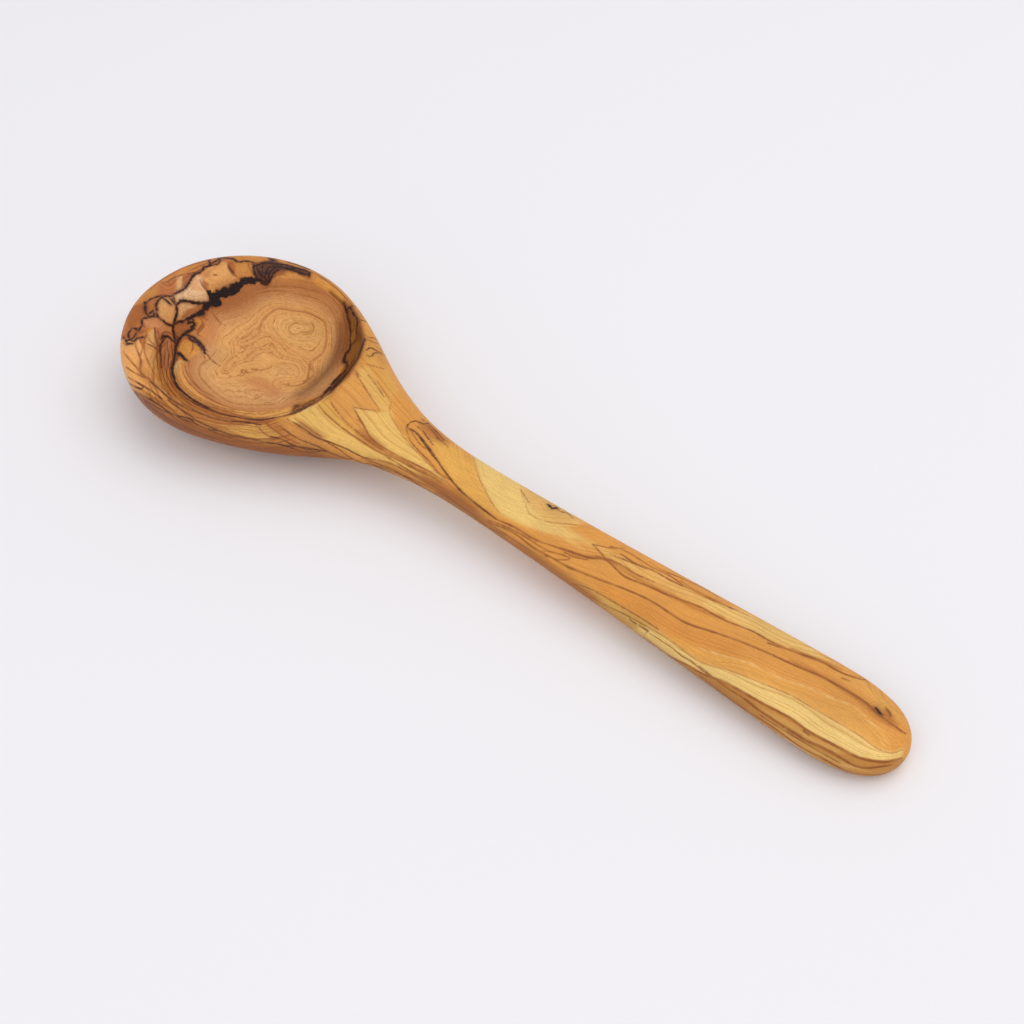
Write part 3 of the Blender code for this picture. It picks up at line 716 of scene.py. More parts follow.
BROWN_LINES = [
    (0.4, [(406, 426), (410, 440), (420, 452), (430, 462), (440, 474), (452, 480)]),
    (0.4, [(610, 546), (628, 552), (650, 566), (670, 576), (688, 588), (712, 600), (734, 610)]),
    (0.5, [(150, 290), (160, 281), (172, 274), (185, 267), (198, 262), (210, 259)]),
    (0.5, [(187, 267), (195, 264), (203, 262), (211, 260)]),
    (0.5, [(190, 270), (198, 267), (205, 264), (212, 263)]),
    (0.5, [(183, 283), (184, 279), (188, 276), (194, 274)]),
    (0.6, [(162, 283), (168, 286), (173, 283), (179, 277)]),
    (0.5, [(126, 341), (129, 339), (133, 340), (137, 338), (141, 339), (145, 336)]),
    (0.5, [(136, 334), (139, 332), (142, 333), (144, 330)]),
    (0.5, [(137, 329), (140, 328), (143, 326), (146, 327)]),
    (0.5, [(123, 343), (127, 345), (131, 343), (136, 344)]),
    (0.4, [(140, 340), (142, 344), (146, 343)]),
    (0.5, [(146, 330), (147, 335), (145, 339)]),
    (0.6, [(158, 331), (159, 336), (161, 341)]),
    (0.6, [(160, 338), (163, 333), (168, 332), (172, 335), (175, 341)]),
    (0.6, [(172, 326), (172, 332), (175, 338), (176, 343)]),
    (0.5, [(199, 318), (203, 322), (200, 328), (197, 333), (201, 337)]),
    (0.7, [(137, 336), (135, 343), (138, 352), (141, 361), (140, 368), (141, 376)]),
    (0.55, [(148, 328), (146, 335), (144, 343), (142, 350), (140, 358)]),
    (0.55, [(144, 344), (145, 354), (149, 363), (154, 373), (161, 380)]),
    (0.5, [(147, 337), (151, 342), (158, 348)]),
    (0.5, [(123, 351), (129, 359), (136, 367), (143, 375), (151, 380)]),
    (0.5, [(126, 367), (135, 373), (145, 378)]),
    (0.35, [
        (176, 368), (177, 377), (181, 385), (188, 392), (198, 399), (211, 405), (226, 410), (243, 413),
        (262, 414), (280, 411),
    ]),
    (0.3, [(178, 364), (179, 375), (184, 385), (192, 393), (204, 400), (220, 407), (240, 411)]),
    (0.6, TRACES["handle upper"][8:]),
    (0.6, "handle middle"),
    (0.6, "handle side upper"),
    (0.6, "handle side lower"),
    (0.7, "yellow band foot"),
    (0.35, "handle near start"),
    (0.35, "handle near second"),
    (0.4, "neck near lower"),
    (0.4, "neck near upper"),
    (0.5, "neck brown"),
    (0.35, "neck orange edge"),
    (0.5, "wedge left"),
    (0.35, "wedge top"),
    (0.45, "stripe left"),
    (0.45, "flame upper"),
    (0.4, "flame lower"),
    (0.4, "lip light"),
    (0.4, "bowl third"),
    (0.45, "bowl low"),
    (0.5, "hollow edge"),
    (0.45, [(248, 263), (249, 267), (252, 273)]),
    (0.7, [(228, 263), (229, 268), (232, 274), (236, 276)]),
    (0.4, [(168, 282), (171, 286)]),
    (0.4, [(183, 276), (183, 283), (181, 289)]),
    (0.5, [(200, 280), (202, 285), (207, 291), (212, 296)]),
    (0.4, [(204, 322), (204, 326), (200, 331), (197, 335)]),
    (0.4, [(202, 316), (205, 319), (208, 320)]),
    (0.4, [(192, 343), (193, 348), (190, 354)]),
    (0.4, [(185, 366), (187, 373), (192, 381), (200, 389), (214, 397)]),
    (0.4, [(182, 363), (183, 372), (187, 380), (195, 389), (206, 397), (220, 404)]),
    (0.4, [(130, 384), (139, 388), (148, 394), (157, 400), (166, 406), (177, 411)]),
    (0.5, [(224, 428), (236, 434), (246, 438)]),
    (0.4, [(255, 424), (264, 433), (273, 438), (281, 439)]),
    (0.4, [(168, 400), (175, 405), (183, 411), (186, 413)]),
    (0.4, [(185, 404), (195, 409), (208, 414), (220, 418), (233, 420)]),
    (0.4, [
        (178, 386), (185, 394), (195, 400), (205, 405), (215, 408), (225, 411), (235, 414), (245, 417),
        (255, 418), (263, 418), (270, 416), (280, 414), (290, 411), (300, 406),
    ]),
    (0.4, [(407, 427), (411, 431), (416, 439), (420, 444), (426, 449)]),
    (0.4, [(368, 375), (377, 386), (384, 397)]),
    (0.35, [(318, 270), (332, 279), (345, 291), (356, 305), (363, 318)]),
    (0.35, [(330, 276), (344, 288), (356, 302), (366, 316)]),
    (0.35, [(270, 258), (286, 260), (302, 265), (318, 273)]),
    (0.5, [(427, 425), (433, 431), (441, 441)]),
    (0.5, [(436, 438), (443, 442), (448, 447)]),
    (0.45, [(400, 465), (418, 476), (435, 487), (453, 500), (471, 514), (488, 527), (506, 536)]),
    (0.4, [(400, 474), (420, 485), (440, 498), (462, 514), (482, 529), (501, 544), (524, 562)]),
    (0.4, [(541, 551), (552, 552), (570, 558), (560, 560), (545, 556)]),
    (0.5, [(521, 490), (525, 496), (529, 503)]),
    (0.4, [(354, 452), (366, 460), (380, 468), (398, 478), (416, 490), (434, 502)]),
    (0.4, [(360, 363), (370, 365), (380, 368), (385, 369)]),
    (0.55, [(212, 312), (217, 319), (222, 324), (226, 326)]),
    (0.45, [(205, 352), (209, 357), (214, 362), (220, 366)]),
    (0.8, [(768, 643), (784, 648), (800, 654)]),
    (0.8, [(886, 708), (889, 712), (891, 716)]),
    (0.7, [(804, 731), (809, 735)]),
    (0.5, [(621, 554), (631, 561), (646, 569)]),
    (0.5, [(681, 581), (696, 591), (717, 601), (731, 608), (749, 616)]),
    (0.4, [(760, 715), (780, 728), (800, 740), (820, 752), (840, 763)]),
    (0.4, [(690, 672), (716, 692), (742, 711), (768, 729), (790, 745)]),
    (0.4, [(640, 640), (668, 660), (694, 679), (720, 697)]),
    (0.5, [(853, 694), (866, 702), (876, 710)]),
    (0.6, [(842, 678), (850, 681)]),
    (0.45, [(488, 520), (506, 527), (524, 536), (541, 547), (554, 553)]),
    (0.4, [(564, 552), (574, 557), (588, 560)]),
    (0.5, [(610, 554), (630, 562), (652, 570), (672, 581), (694, 591)]),
    (0.4, [(649, 561), (660, 569), (681, 578), (703, 588), (720, 598)]),
    (0.4, [(596, 556), (616, 562), (636, 574), (654, 582)]),
    (0.8, [(796, 653), (806, 656), (816, 660)]),
]
FAINT_LINES = [
    (0.55, "inner ring"),
    (0.35, "fold"),
    (0.35, "eye ring"),
    (0.5, "second ring"),
    (0.4, "far ring"),
    (0.35, "outer far ring"),
    (0.4, "near ring"),
    (0.4, "outer near ring"),
    (0.4, "yellow band top"),
    (0.4, "wedge right"),
    (0.4, "neck far"),
    (0.35, "neck curl"),
    (0.4, [(249, 401), (258, 398), (263, 394)]),
]

# Pale lines: golden lines of the grain, and a painted highlight along the near lip
PALE_LINES = [
    (0.6, "handle golden"),
    # Painted highlight along the crest of the near lip
    (0.7, [(297, 416), (306, 410), (318, 404), (330, 394)]),
    (0.5, [(372, 398), (378, 404), (386, 410)]),
    (0.6, [(700, 598), (724, 606), (748, 616)]),
    (0.7, [(776, 733), (800, 748), (820, 760)]),
]

# Soft patches of another tone, the umber ones painted shade: colour, then half width and softness in mm and
# line in the photo
PATCHES = {
    "pinkish": ("#c5814f", [
        (3.0, 2.0, [(212, 322), (212, 340)]),
        (2.5, 2.0, [(250, 380), (262, 385), (276, 392)]),
    ]),
    "ruddy": ("#9e5f34", [
        (5.5, 4.5, [(214, 308), (230, 303), (250, 294)]),
    ]),
    "golden": ("#e3a75c", [
        (1.0, 0.7, [(180, 364), (182, 376), (188, 388), (200, 398), (215, 406), (235, 411)]),
    ]),
    "brown": ("#9c5c31", [
        (2.0, 1.8, [(425, 478), (440, 488), (456, 498), (474, 510)]),
        (2.2, 1.8, [(424, 424), (434, 433), (444, 441)]),
        (1.6, 1.2, [(360, 432), (370, 440), (382, 448)]),
        (1.3, 1.2, [(300, 424), (312, 432), (322, 438)]),
        (1.3, 1.4, [(141, 362), (142, 372), (150, 382), (160, 388)]),
        (0.9, 1.2, [(157, 346), (158, 360), (160, 374)]),
        (0.4, 0.6, [(358, 419), (361, 424)]),
        (0.5, 0.7, [(355, 371), (358, 377)]),
        (1.4, 1.2, [(196, 402), (215, 411), (240, 417), (265, 419)]),
    ]),
    "ochre": ("#a35e28", [
        (0.7, 0.6, [(790, 661), (818, 674), (847, 691), (867, 706), (884, 720), (901, 731)]),
        (0.7, 0.6, [(792, 649), (806, 655), (822, 661), (840, 670)]),
        (0.6, 0.5, [(560, 548), (580, 556), (608, 560), (644, 582), (672, 596), (700, 610), (724, 618)]),
        (1.2, 1.0, [(886, 711), (890, 718), (895, 724)]),
    ]),
    # Umber: painted shade on the hollow's steep wall on the handle side, which faces away from the light
    "umber": ("#653616", [
        (2.6, 2.6, [(341, 325), (341, 340), (336, 356), (326, 372), (312, 386), (300, 394)]),
        (2.2, 2.2, [(345, 314), (346, 326), (345, 340), (341, 353), (334, 366)]),
        (2.0, 1.6, [(344, 304), (347, 312), (349, 324), (349, 336), (346, 350), (343, 362)]),
        (1.0, 1.2, [(344, 378), (334, 389), (322, 398), (306, 406)]),
    ]),
    "smoke": ("#3b221a", [
        (1.6, 1.2, [(212, 298), (222, 293), (234, 287)]),
        (0.9, 0.9, [(268, 266), (276, 264), (286, 266)]),
        (1.2, 1.0, [(258, 268), (265, 273), (275, 268), (288, 268)]),
        (0.6, 0.8, [(288, 268), (300, 271), (308, 274)]),
        (0.8, 1.0, [(176, 342), (175, 350)]),
    ]),
}

# Wood skin: one even grid over the CAD shape, so that the figure can be laid on it
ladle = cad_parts["ladle"]
shape = bmesh.new()
shape.from_mesh(ladle.data)
bmesh.ops.remove_doubles(shape, verts=shape.verts[:], dist=MERGED_WITHIN)
blank_mesh = bpy.data.meshes.new("blank")
shape.to_mesh(blank_mesh)
shape.free()
blank = bpy.data.objects.new("blank", blank_mesh)
bpy.context.collection.objects.link(blank)
grid = blank.modifiers.new("even grid", "REMESH")
grid.mode = "VOXEL"
grid.voxel_size = SKIN_GRAIN
sanding = blank.modifiers.new("sanding", "SMOOTH")
sanding.factor = SKIN_SMOOTHING_SHARE
sanding.iterations = SKIN_SMOOTHING
skin_mesh = bpy.data.meshes.new_from_object(blank.evaluated_get(bpy.context.evaluated_depsgraph_get()))
bpy.data.objects.remove(blank)

tree_of_skin = BVHTree.FromPolygons(
    [v.co.copy() for v in skin_mesh.vertices],
    [tuple(p.vertices) for p in skin_mesh.polygons],
)


def photo_ray(pixel):
    """Direction from the eye through a pixel of the photo."""
    across = (pixel[0] - PHOTO / 2) / FOCAL_PIXELS
    down = (pixel[1] - PHOTO / 2) / FOCAL_PIXELS
    return (forward + right * across - camera_up * down).normalized()


def on_wood(pixel):
    """Point of the wood that the photo shows at a pixel, in mm. Off the outline, the nearest one."""
    ray = photo_ray(pixel)
    hit = tree_of_skin.ray_cast(eye, ray)[0]
    if hit is None:
        reach = -(eye.z - TOP_HEIGHT_MM * MM / 2) / ray.z
        hit = tree_of_skin.find_nearest(eye + ray * reach)[0]
    return np.array(hit) / MM


def line_on_wood(pixels, step):
    """A smooth line through photo pixels laid on the wood, with a point every step pixels at most."""
    knots = np.array([pixels[0], *pixels, pixels[-1]], float)
    points = []
    for before, start, end, after in zip(knots, knots[1:], knots[2:], knots[3:]):
        parts = max(1, math.ceil(math.dist(start, end) / step))
        for t in np.arange(parts) / parts:
            bend = (end - before) * t + (2 * before - 5 * start + 4 * end - after) * t ** 2
            points.append(on_wood(start + 0.5 * (bend + (3 * start - before - 3 * end + after) * t ** 3)))
    points.append(on_wood(pixels[-1]))
    return np.array(points)


def height_over_top(points):
    """Height above the blank's top plane in mm, negative in the wood."""
    return points[:, 2] - (TOP_HEIGHT_MM - TOP_SLOPE * (points[:, 0] - TOP_ORIGIN_MM))


def kernel(squared):
    """Thin plate kernel of a squared distance."""
    return 0.5 * squared * np.log(squared + LEAST)


def growth(layers, stiffness, points):
    """Growth level at points: a thin plate bent through the traced layers, which rises with height."""
    traced = []
    levels = []
    for level, pixels in layers:
        line = line_on_wood(pixels, LAYER_STEP)
        traced.append(line)
        levels.append(level - LAYER_RISE * height_over_top(line))
    traced = np.concatenate(traced)[:, :2] / PLATE_UNIT_MM
    levels = np.concatenate(levels)
    count = len(traced)
    gaps = ((traced[:, None] - traced[None]) ** 2).sum(2)
    plane = np.column_stack([np.ones(count), traced])
    system = np.zeros((count + 3, count + 3))
    system[:count, :count] = kernel(gaps) + stiffness * np.eye(count)
    system[:count, count:] = plane
    system[count:, :count] = plane.T
    weights = np.linalg.solve(system, np.concatenate([levels, np.zeros(3)]))
    level = np.empty(len(points))
    for first in range(0, len(points), AT_ONCE):
        part = points[first:first + AT_ONCE, :2] / PLATE_UNIT_MM
        gaps = ((part[:, None] - traced[None]) ** 2).sum(2)
        flat = np.column_stack([np.ones(len(part)), part])
        level[first:first + AT_ONCE] = kernel(gaps) @ weights[:count] + flat @ weights[count:]
    return level + LAYER_RISE * height_over_top(points)


def depth_in_line(points, lines, margin):
    """How deep each point lies in the lines in mm, and negative outside, down to minus the margin."""
    depth = np.full(len(points), -margin)
    for half_width, line in lines:
        reach = margin + half_width
        near = np.all((points > line.min(0) - reach) & (points < line.max(0) + reach), axis=1)
        if not near.any():
            continue
        some = points[near]
        best = np.full(len(some), -margin)
        tip = min(TIP_POINTS, len(line) // 3)
        for index, (start, end) in enumerate(zip(line, line[1:])):
            along = end - start
            share = np.clip((some - start) @ along / max(along @ along, LEAST), 0, 1)
            distance = np.linalg.norm(some - start - share[:, None] * along, axis=1)
            fullness = min(1, (min(index, len(line) - 2 - index) + 1) / (tip + 1))
            best = np.maximum(best, half_width * (TIP_SHARE + (1 - TIP_SHARE) * fullness) - distance)
        depth[near] = np.maximum(depth[near], best)
    return depth


def inked(strokes):
    """Strokes of the photo laid on the wood, as half widths in mm and lines."""
    laid = []
    for width, line in strokes:
        pixels = TRACES[line] if isinstance(line, str) else line
        laid.append((width / 2, line_on_wood(pixels, STROKE_STEP)))
    return laid


def inside(outline, points):
    """Pixels inside an outline of photo pixels for points as the photo sees them, negative outside."""
    rays = points * MM - np.array(eye)
    depth = rays @ np.array(forward)
    x = PHOTO / 2 + FOCAL_PIXELS * (rays @ np.array(right)) / depth
    y = PHOTO / 2 - FOCAL_PIXELS * (rays @ np.array(camera_up)) / depth
    seen = np.column_stack([x, y])
    within = np.zeros(len(points), bool)
    distance = np.full(len(points), np.inf)
    corners = np.array(outline, float)
    for start, end in zip(corners, np.roll(corners, -1, axis=0)):
        along = end - start
        crosses = (y > start[1]) != (y > end[1])
        within ^= crosses & (x < start[0] + along[0] * (y - start[1]) / (along[1] or LEAST))
        share = np.clip((seen - start) @ along / max(along @ along, LEAST), 0, 1)
        distance = np.minimum(distance, np.linalg.norm(seen - start - share[:, None] * along, axis=1))
    return np.where(within, distance, -distance)


def joined(parts):
    """Outline made of single corners and of traced lines, which run backwards after an r."""
    outline = []
    for part in parts:
        if not isinstance(part, str):
            outline.append(part)
        elif part.startswith("r "):
            outline += TRACES[part[2:]][::-1]
        else:
            outline += TRACES[part]
    return outline


def covered(depth, softness):
    """Share covered at a depth inside an edge that is as soft on both sides."""
    return np.clip(0.5 + depth / (2 * softness), 0, 1)


def laid_over(ground, colour, share):
    """Colours of the points with another colour laid over them by a share at each point."""
    return ground + (np.array(linear(colour)) - ground) * share[:, None]


def keep_on_skin(name, values):
    """Stores a value or a colour for each point of the skin, where the material reads it."""
    coloured = values.ndim == 2
    layer = skin_mesh.attributes.new(name, "FLOAT_COLOR" if coloured else "FLOAT", "POINT")
    layer.data.foreach_set("color" if coloured else "value", values.astype(np.float32).ravel())


bark = inked(BARK)
black = inked(BLACK_VEINS)
dark = inked(DARK_LINES)
brown = inked(BROWN_LINES)
faint = inked(FAINT_LINES)
pale = inked(PALE_LINES)

# The grid is halved beside the bark, veins and lines, and once more on them, but not on the faint lines
skin = bmesh.new()
skin.from_mesh(skin_mesh)
for reach, strokes in (
    (HALVED_WITHIN_MM, bark + black + dark + brown + faint),
    (QUARTERED_WITHIN_MM, bark + black + dark + brown),
):
    skin.verts.ensure_lookup_table()
    skin.verts.index_update()
    places = np.array([v.co for v in skin.verts]) / MM
    close = depth_in_line(places, strokes, LINE_REACH_MM) > -reach
    edges = [e for e in skin.edges if close[e.verts[0].index] and close[e.verts[1].index]]
    bmesh.ops.subdivide_edges(skin, edges=edges, cuts=1, use_grid_fill=True)
    bmesh.ops.triangulate(skin, faces=[f for f in skin.faces if len(f.verts) > 4])
skin.to_mesh(skin_mesh)
skin.free()

places = np.empty(len(skin_mesh.vertices) * 3)
skin_mesh.vertices.foreach_get("co", places)
places = places.reshape(-1, 3) / MM

# How surely the photo shows each point of the wood
normals = np.empty(len(places) * 3)
skin_mesh.vertices.foreach_get("normal", normals)
normals = normals.reshape(-1, 3)
to_eye = np.array(eye) / MM - places
to_eye /= np.linalg.norm(to_eye, axis=1, keepdims=True)
facing = (normals * to_eye).sum(1)
shown = np.clip((facing - FACING_FROM) / (FACING_FULL - FACING_FROM), 0, 1)
for index in np.flatnonzero(shown):
    point = Vector(places[index] * MM)
    ray = point - eye
    hit = tree_of_skin.ray_cast(eye, ray.normalized())[0]
    if hit is not None and (hit - eye).length < ray.length - HIDDEN_BEHIND:
        shown[index] = 0

sap_layers = [(level, TRACES[name]) for name, level in SAP_LEVELS.items()] + [FAR_RIM]
heart_layers = [(level, TRACES[name]) for name, level in HEART_LEVELS.items()] + [EYE] + HOLLOW_FLOOR
figure = {
    "sap_growth": growth(sap_layers, SAP_STIFFNESS, places),
    "heart_growth": growth(heart_layers, HEART_STIFFNESS, places),
    "heart": np.clip(inside(HEART_OUTLINE, places), *HEART_KEPT),
    "rim": np.clip(inside(RIM_OUTLINE, places), *RIM_KEPT),
    "burl": np.clip(inside(BURL_OUTLINE, places), *BURL_KEPT),
    "bark": depth_in_line(places, bark, VEIN_REACH_MM),
    "black_vein": depth_in_line(places, black, VEIN_REACH_MM),
    "dark_line": depth_in_line(places, dark, LINE_REACH_MM),
    "brown_line": depth_in_line(places, brown, LINE_REACH_MM),
    "faint_line": depth_in_line(places, faint, LINE_REACH_MM),
    "pale_line": depth_in_line(places, pale, LINE_REACH_MM),
}

# The wall of the hollow that the photo hides is heartwood too
inward = (np.array(BOWL_CENTRE_MM) - places) * (1, 1, 0)
from_centre = np.linalg.norm(inward, axis=1)
faces_in = (normals * inward).sum(1) > WALL_FACES_IN * from_centre
hidden_wall = (shown < 0.5) & (from_centre < HOLLOW_REACH_MM) & faces_in
figure["heart"][hidden_wall] = HIDDEN_WALL_HEART
figure["rim"][hidden_wall] = RIM_KEPT[0]

for name, (_, spots) in PATCHES.items():
    share = np.zeros(len(places))
    for half_width, softness, pixels in spots:
        spot = [(half_width, line_on_wood(pixels, STROKE_STEP))]
        depth = depth_in_line(places, spot, PATCH_REACH * softness)
        share = np.maximum(share, covered(depth, softness))
    figure[name + "_patch"] = share
for name, values in figure.items():
    keep_on_skin(name, values)

# Burl: each point takes the tone of the nearest cell, and of a crisp field where the photo shows one
centres = np.array([on_wood(pixel) for pixels in BURL_CELLS.values() for pixel in pixels])
tones = np.array([linear(BURL_TONES[tone]) for tone, pixels in BURL_CELLS.items() for _ in pixels])
burl_tone = np.empty((len(places), 4))
for first in range(0, len(places), AT_ONCE):
    part = places[first:first + AT_ONCE]
    gaps = np.linalg.norm(part[:, None] - centres[None], axis=2)
    nearness = np.exp(-(gaps - gaps.min(1, keepdims=True)) / CELL_EDGE_MM)
    burl_tone[first:first + AT_ONCE] = nearness @ tones / nearness.sum(1, keepdims=True)
for colour, edge in BURL_FIELDS:
    share = shown * covered(inside(edge, places) / PIXELS_PER_MM, CELL_EDGE_MM)
    burl_tone = laid_over(burl_tone, colour, share)
keep_on_skin("burl_tone", burl_tone)

# Fields of the figure and of painted shade on the sides that the photo shows
field_tone = np.tile(linear(FIELD_GROUND), (len(places), 1))
for colour, softness, parts in FIELDS:
    share = covered(inside(joined(parts), places) / PIXELS_PER_MM, softness)
    field_tone = laid_over(field_tone, colour, share)
keep_on_skin("field_tone", field_tone)
keep_on_skin("shown", shown)

skin_mesh.shade_smooth()
wood = bpy.data.objects.new("ladle_body", skin_mesh)
bpy.context.collection.objects.link(wood)
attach(wood, "root")
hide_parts("ladle")

# Olive wood, sanded and rubbed with oil: a satin sheen over golden sapwood, a tan heart and black bark.
# Widths of its patterns in mm, with the one along the grain first where there are three. The real pores,
# rings and grit are finer, and are drawn as coarse as they need to show.
CLOUD_MM = 18.18
RIPPLE_MM = 6.25
LUMP_MM = 2.381
RAG_MM = 4 / 3
GRIT_MM = 2 / 3
WAVE_MM = (138.9, 8.333, 8.333)
FIBRE_MM = (9.259, 0.5208, 0.5208)
PORE_DEPTH = 0.1 * MM

# Usual width of a growth level across the wood in mm, widths of the fine rings and lines, and how many rings
# the burl's marbling has from a cloud's darkest to its lightest
SAP_LEVEL_MM = 4.9
SAP_RING_MM = 0.7
HEART_LEVEL_MM = 4.8
RIM_RING_MM = 1.014
ECHO_MM = 0.625
MARBLING_RINGS = 26.0

# How far noise moves them: levels by wave, ripple and rag, pixels at the rim and mm at the veins
GROWTH_SHAKEN = {"sap_growth": (0.12, 0.05, 0.03), "heart_growth": (0.15, 0.4, 0.2)}
RIM_SHAKEN = 7.0
ECHO_SHAKEN_MM = 1.6

# Sapwood colours where the photo doesn't show them: growth level and colour
HANDLE_BANDS = [
    (-4.0, "#b27a3e"), (-2.0, "#c8954f"), (0.0, "#b0773a"), (0.8, "#cf9f56"), (1.4, "#b98040"),
    (2.1, "#d9ab5c"), (2.8, "#cb8b41"), (3.1, "#e3b463"), (3.4, "#ecca7c"), (3.9, "#eac176"),
    (4.05, "#dc9847"), (4.5, "#e2a24f"), (5.0, "#d98f40"), (5.8, "#db9242"), (6.1, "#e09d4b"),
    (6.8, "#d98f40"), (7.15, "#dd9a47"), (7.5, "#eac078"), (8.3, "#e8bb6d"), (8.8, "#da9544"),
    (9.5, "#e2ab58"), (10.5, "#d6903f"), (12.0, "#e0a657"),
]
NECK_BANDS = [
    (-4.0, "#b27a3e"), (-2.0, "#c8954f"), (0.0, "#a96f39"), (0.8, "#c58c48"), (1.4, "#a86f38"),
    (2.1, "#c98f49"), (2.8, "#b3763a"), (3.05, "#cf9446"), (3.35, "#d9a353"), (3.45, "#b9763b"),
    (3.7, "#c98641"), (3.95, "#a9652f"), (4.05, "#e6bb6c"), (4.45, "#ebc87e"), (4.9, "#e9c277"),
    (5.02, "#cf8b43"), (5.5, "#c98643"), (5.55, "#da9648"), (5.95, "#dc9a4b"), (6.05, "#e8bd70"),
    (6.55, "#ecc77d"), (6.65, "#dd9a4a"), (7.2, "#d98f42"), (7.6, "#e2a957"), (7.95, "#e0a04e"),
    (8.05, "#ebc47a"), (9.0, "#e9bf72"), (10.0, "#dc9847"), (12.0, "#e0a657"),
]

# Sapwood lines there: growth level, half width in levels, and strength in the neck and in the handle
SAP_LINES = [
    (-1.4, 0.05, 0.5, 0.5), (-0.5, 0.08, 0.6, 0.6), (0.4, 0.05, 0.6, 0.5), (1.0, 0.07, 0.75, 0.7),
    (1.5, 0.04, 0.7, 0.4), (2.0, 0.06, 0.8, 0.75), (2.45, 0.03, 0.6, 0.4), (3.0, 0.05, 0.9, 0.7),
    (3.4, 0.03, 0.7, 0.1), (3.7, 0.03, 0.8, 0.0), (4.0, 0.04, 0.95, 0.5), (4.4, 0.02, 0.35, 0.0),
    (4.63, 0.025, 0.2, 0.45), (5.0, 0.03, 0.7, 0.1), (5.3, 0.02, 0.2, 0.2), (5.5, 0.02, 0.4, 0.0),
    (6.0, 0.05, 0.75, 0.7), (6.6, 0.025, 0.4, 0.05), (7.0, 0.05, 0.8, 0.75), (7.3, 0.03, 0.1, 0.3),
    (8.0, 0.04, 0.35, 0.5), (9.0, 0.06, 0.3, 0.55), (9.8, 0.05, 0.3, 0.4), (10.8, 0.06, 0.3, 0.5),
]

# Heartwood colours: growth level and colour
HEART_BANDS = [
    (-10.5, "#e3b06c"), (-9.7, "#dfab68"), (-9.4, "#d29855"), (-9.1, "#dca663"), (-8.4, "#d99f5b"),
    (-8.0, "#d09050"), (-7.4, "#d99e5b"), (-6.8, "#d09861"), (-6.2, "#c68b55"), (-5.6, "#bd7e4c"),
    (-5.2, "#b57346"), (-4.9, "#c07a42"), (-4.4, "#d79549"), (-3.6, "#d6923f"), (-3.0, "#b8732f"),
]

# Fine rings of the heartwood: width in mm, noise where they begin and are full, strength and colour
HEART_RINGS = [
    (1.5, 0.45, 0.75, 0.4, "#b8753f"),
    (0.4, 0.48, 0.66, 0.8, "#a15c2b"),
    (0.1846, 0.5, 0.66, 0.6, "#a9642f"),
    (0.2824, 0.52, 0.75, 0.5, "#e2ab66"),
]

# Inks of the strokes from below: colour, softness and jag of the edge in mm, and strength. Where a name comes
# more than once, the first ones are soft stains beside the line. Inside the edge an ink is full after this
# share of its softness
FULL_INSIDE = 0.6
INKS = [
    ("brown_line", "#a5622e", 0.8, 0.9, 0.35),
    ("dark_line", "#95572a", 0.8, 0.9, 0.5),
    ("pale_line", "#ecc780", 0.4, 0.3, 0.6),
    ("faint_line", "#9c5c2a", 0.35, 0.4, 0.7),
    ("brown_line", "#86491f", 0.3, 0.5, 0.85),
    ("dark_line", "#4a2512", 0.25, 0.6, 0.95),
    ("black_vein", "#7c4320", 1.8, 1.6, 0.85),
    ("black_vein", "#552a15", 0.8, 1.8, 0.9),
    ("black_vein", "#27150f", 0.25, 1.8, 0.95),
    ("bark", "#5a2d17", 0.8, 3.0, 0.9),
    ("bark", "#1d110e", 0.25, 3.4, 1.0),
]


def repeats(width_mm):
    """Repeats in a metre of a pattern that is this wide in mm."""
    return 1 / (width_mm * MM)


def shaken(tree, value, noise, reach):
    """A value moved both ways by a noise, by half the reach at most."""
    shift = add(tree, "Math", {0: noise, 1: reach, 2: -reach / 2}, operation="MULTIPLY_ADD").outputs[0]
    return add(tree, "Math", {0: value, 1: shift}, operation="ADD").outputs[0]


def banded(tree, level, bands):
    """Colour at a growth level, from bands of level and colour."""
    low = bands[0][0]
    high = bands[-1][0]
    share = add(tree, "MapRange", {"Value": level, "From Min": low, "From Max": high}).outputs[0]
    stops = [((stop - low) / (high - low), colour) for stop, colour in bands]
    return add(tree, "ValToRGB", {"Fac": share}, stops).outputs[0]


olive = bpy.data.materials.new("olive wood, oiled")
olive.use_nodes = True
tree = olive.node_tree
tree.nodes.clear()

# Noises. A Mix of colours takes its share at 0 and the colours below and above at 6 and 7
place = add(tree, "TexCoord").outputs["Object"]
wave_place = add(tree, "Mapping", {"Vector": place, "Scale": [repeats(w) for w in WAVE_MM]}).outputs[0]
wave = add(tree, "TexNoise", {"Vector": wave_place, "Scale": 1.0, "Detail": 2.0}).outputs[0]
fibre_place = add(tree, "Mapping", {"Vector": place, "Scale": [repeats(w) for w in FIBRE_MM]}).outputs[0]
fibre = add(tree, "TexNoise", {
    "Vector": fibre_place, "Scale": 1.0, "Detail": 3.0, "Roughness": 0.6,
}).outputs[0]
cloud = add(tree, "TexNoise", {"Vector": place, "Scale": repeats(CLOUD_MM), "Detail": 2.0}).outputs[0]
ripple = add(tree, "TexNoise", {"Vector": place, "Scale": repeats(RIPPLE_MM), "Detail": 2.0}).outputs[0]
ragged = add(tree, "TexNoise", {
    "Vector": place, "Scale": repeats(RAG_MM), "Detail": 3.0, "Roughness": 0.65,
}).outputs[0]
lumps = add(tree, "TexNoise", {
    "Vector": place, "Scale": repeats(LUMP_MM), "Detail": 2.0, "Roughness": 0.45,
}).outputs[0]
grit = add(tree, "TexNoise", {"Vector": place, "Scale": repeats(GRIT_MM), "Detail": 2.0}).outputs[0]

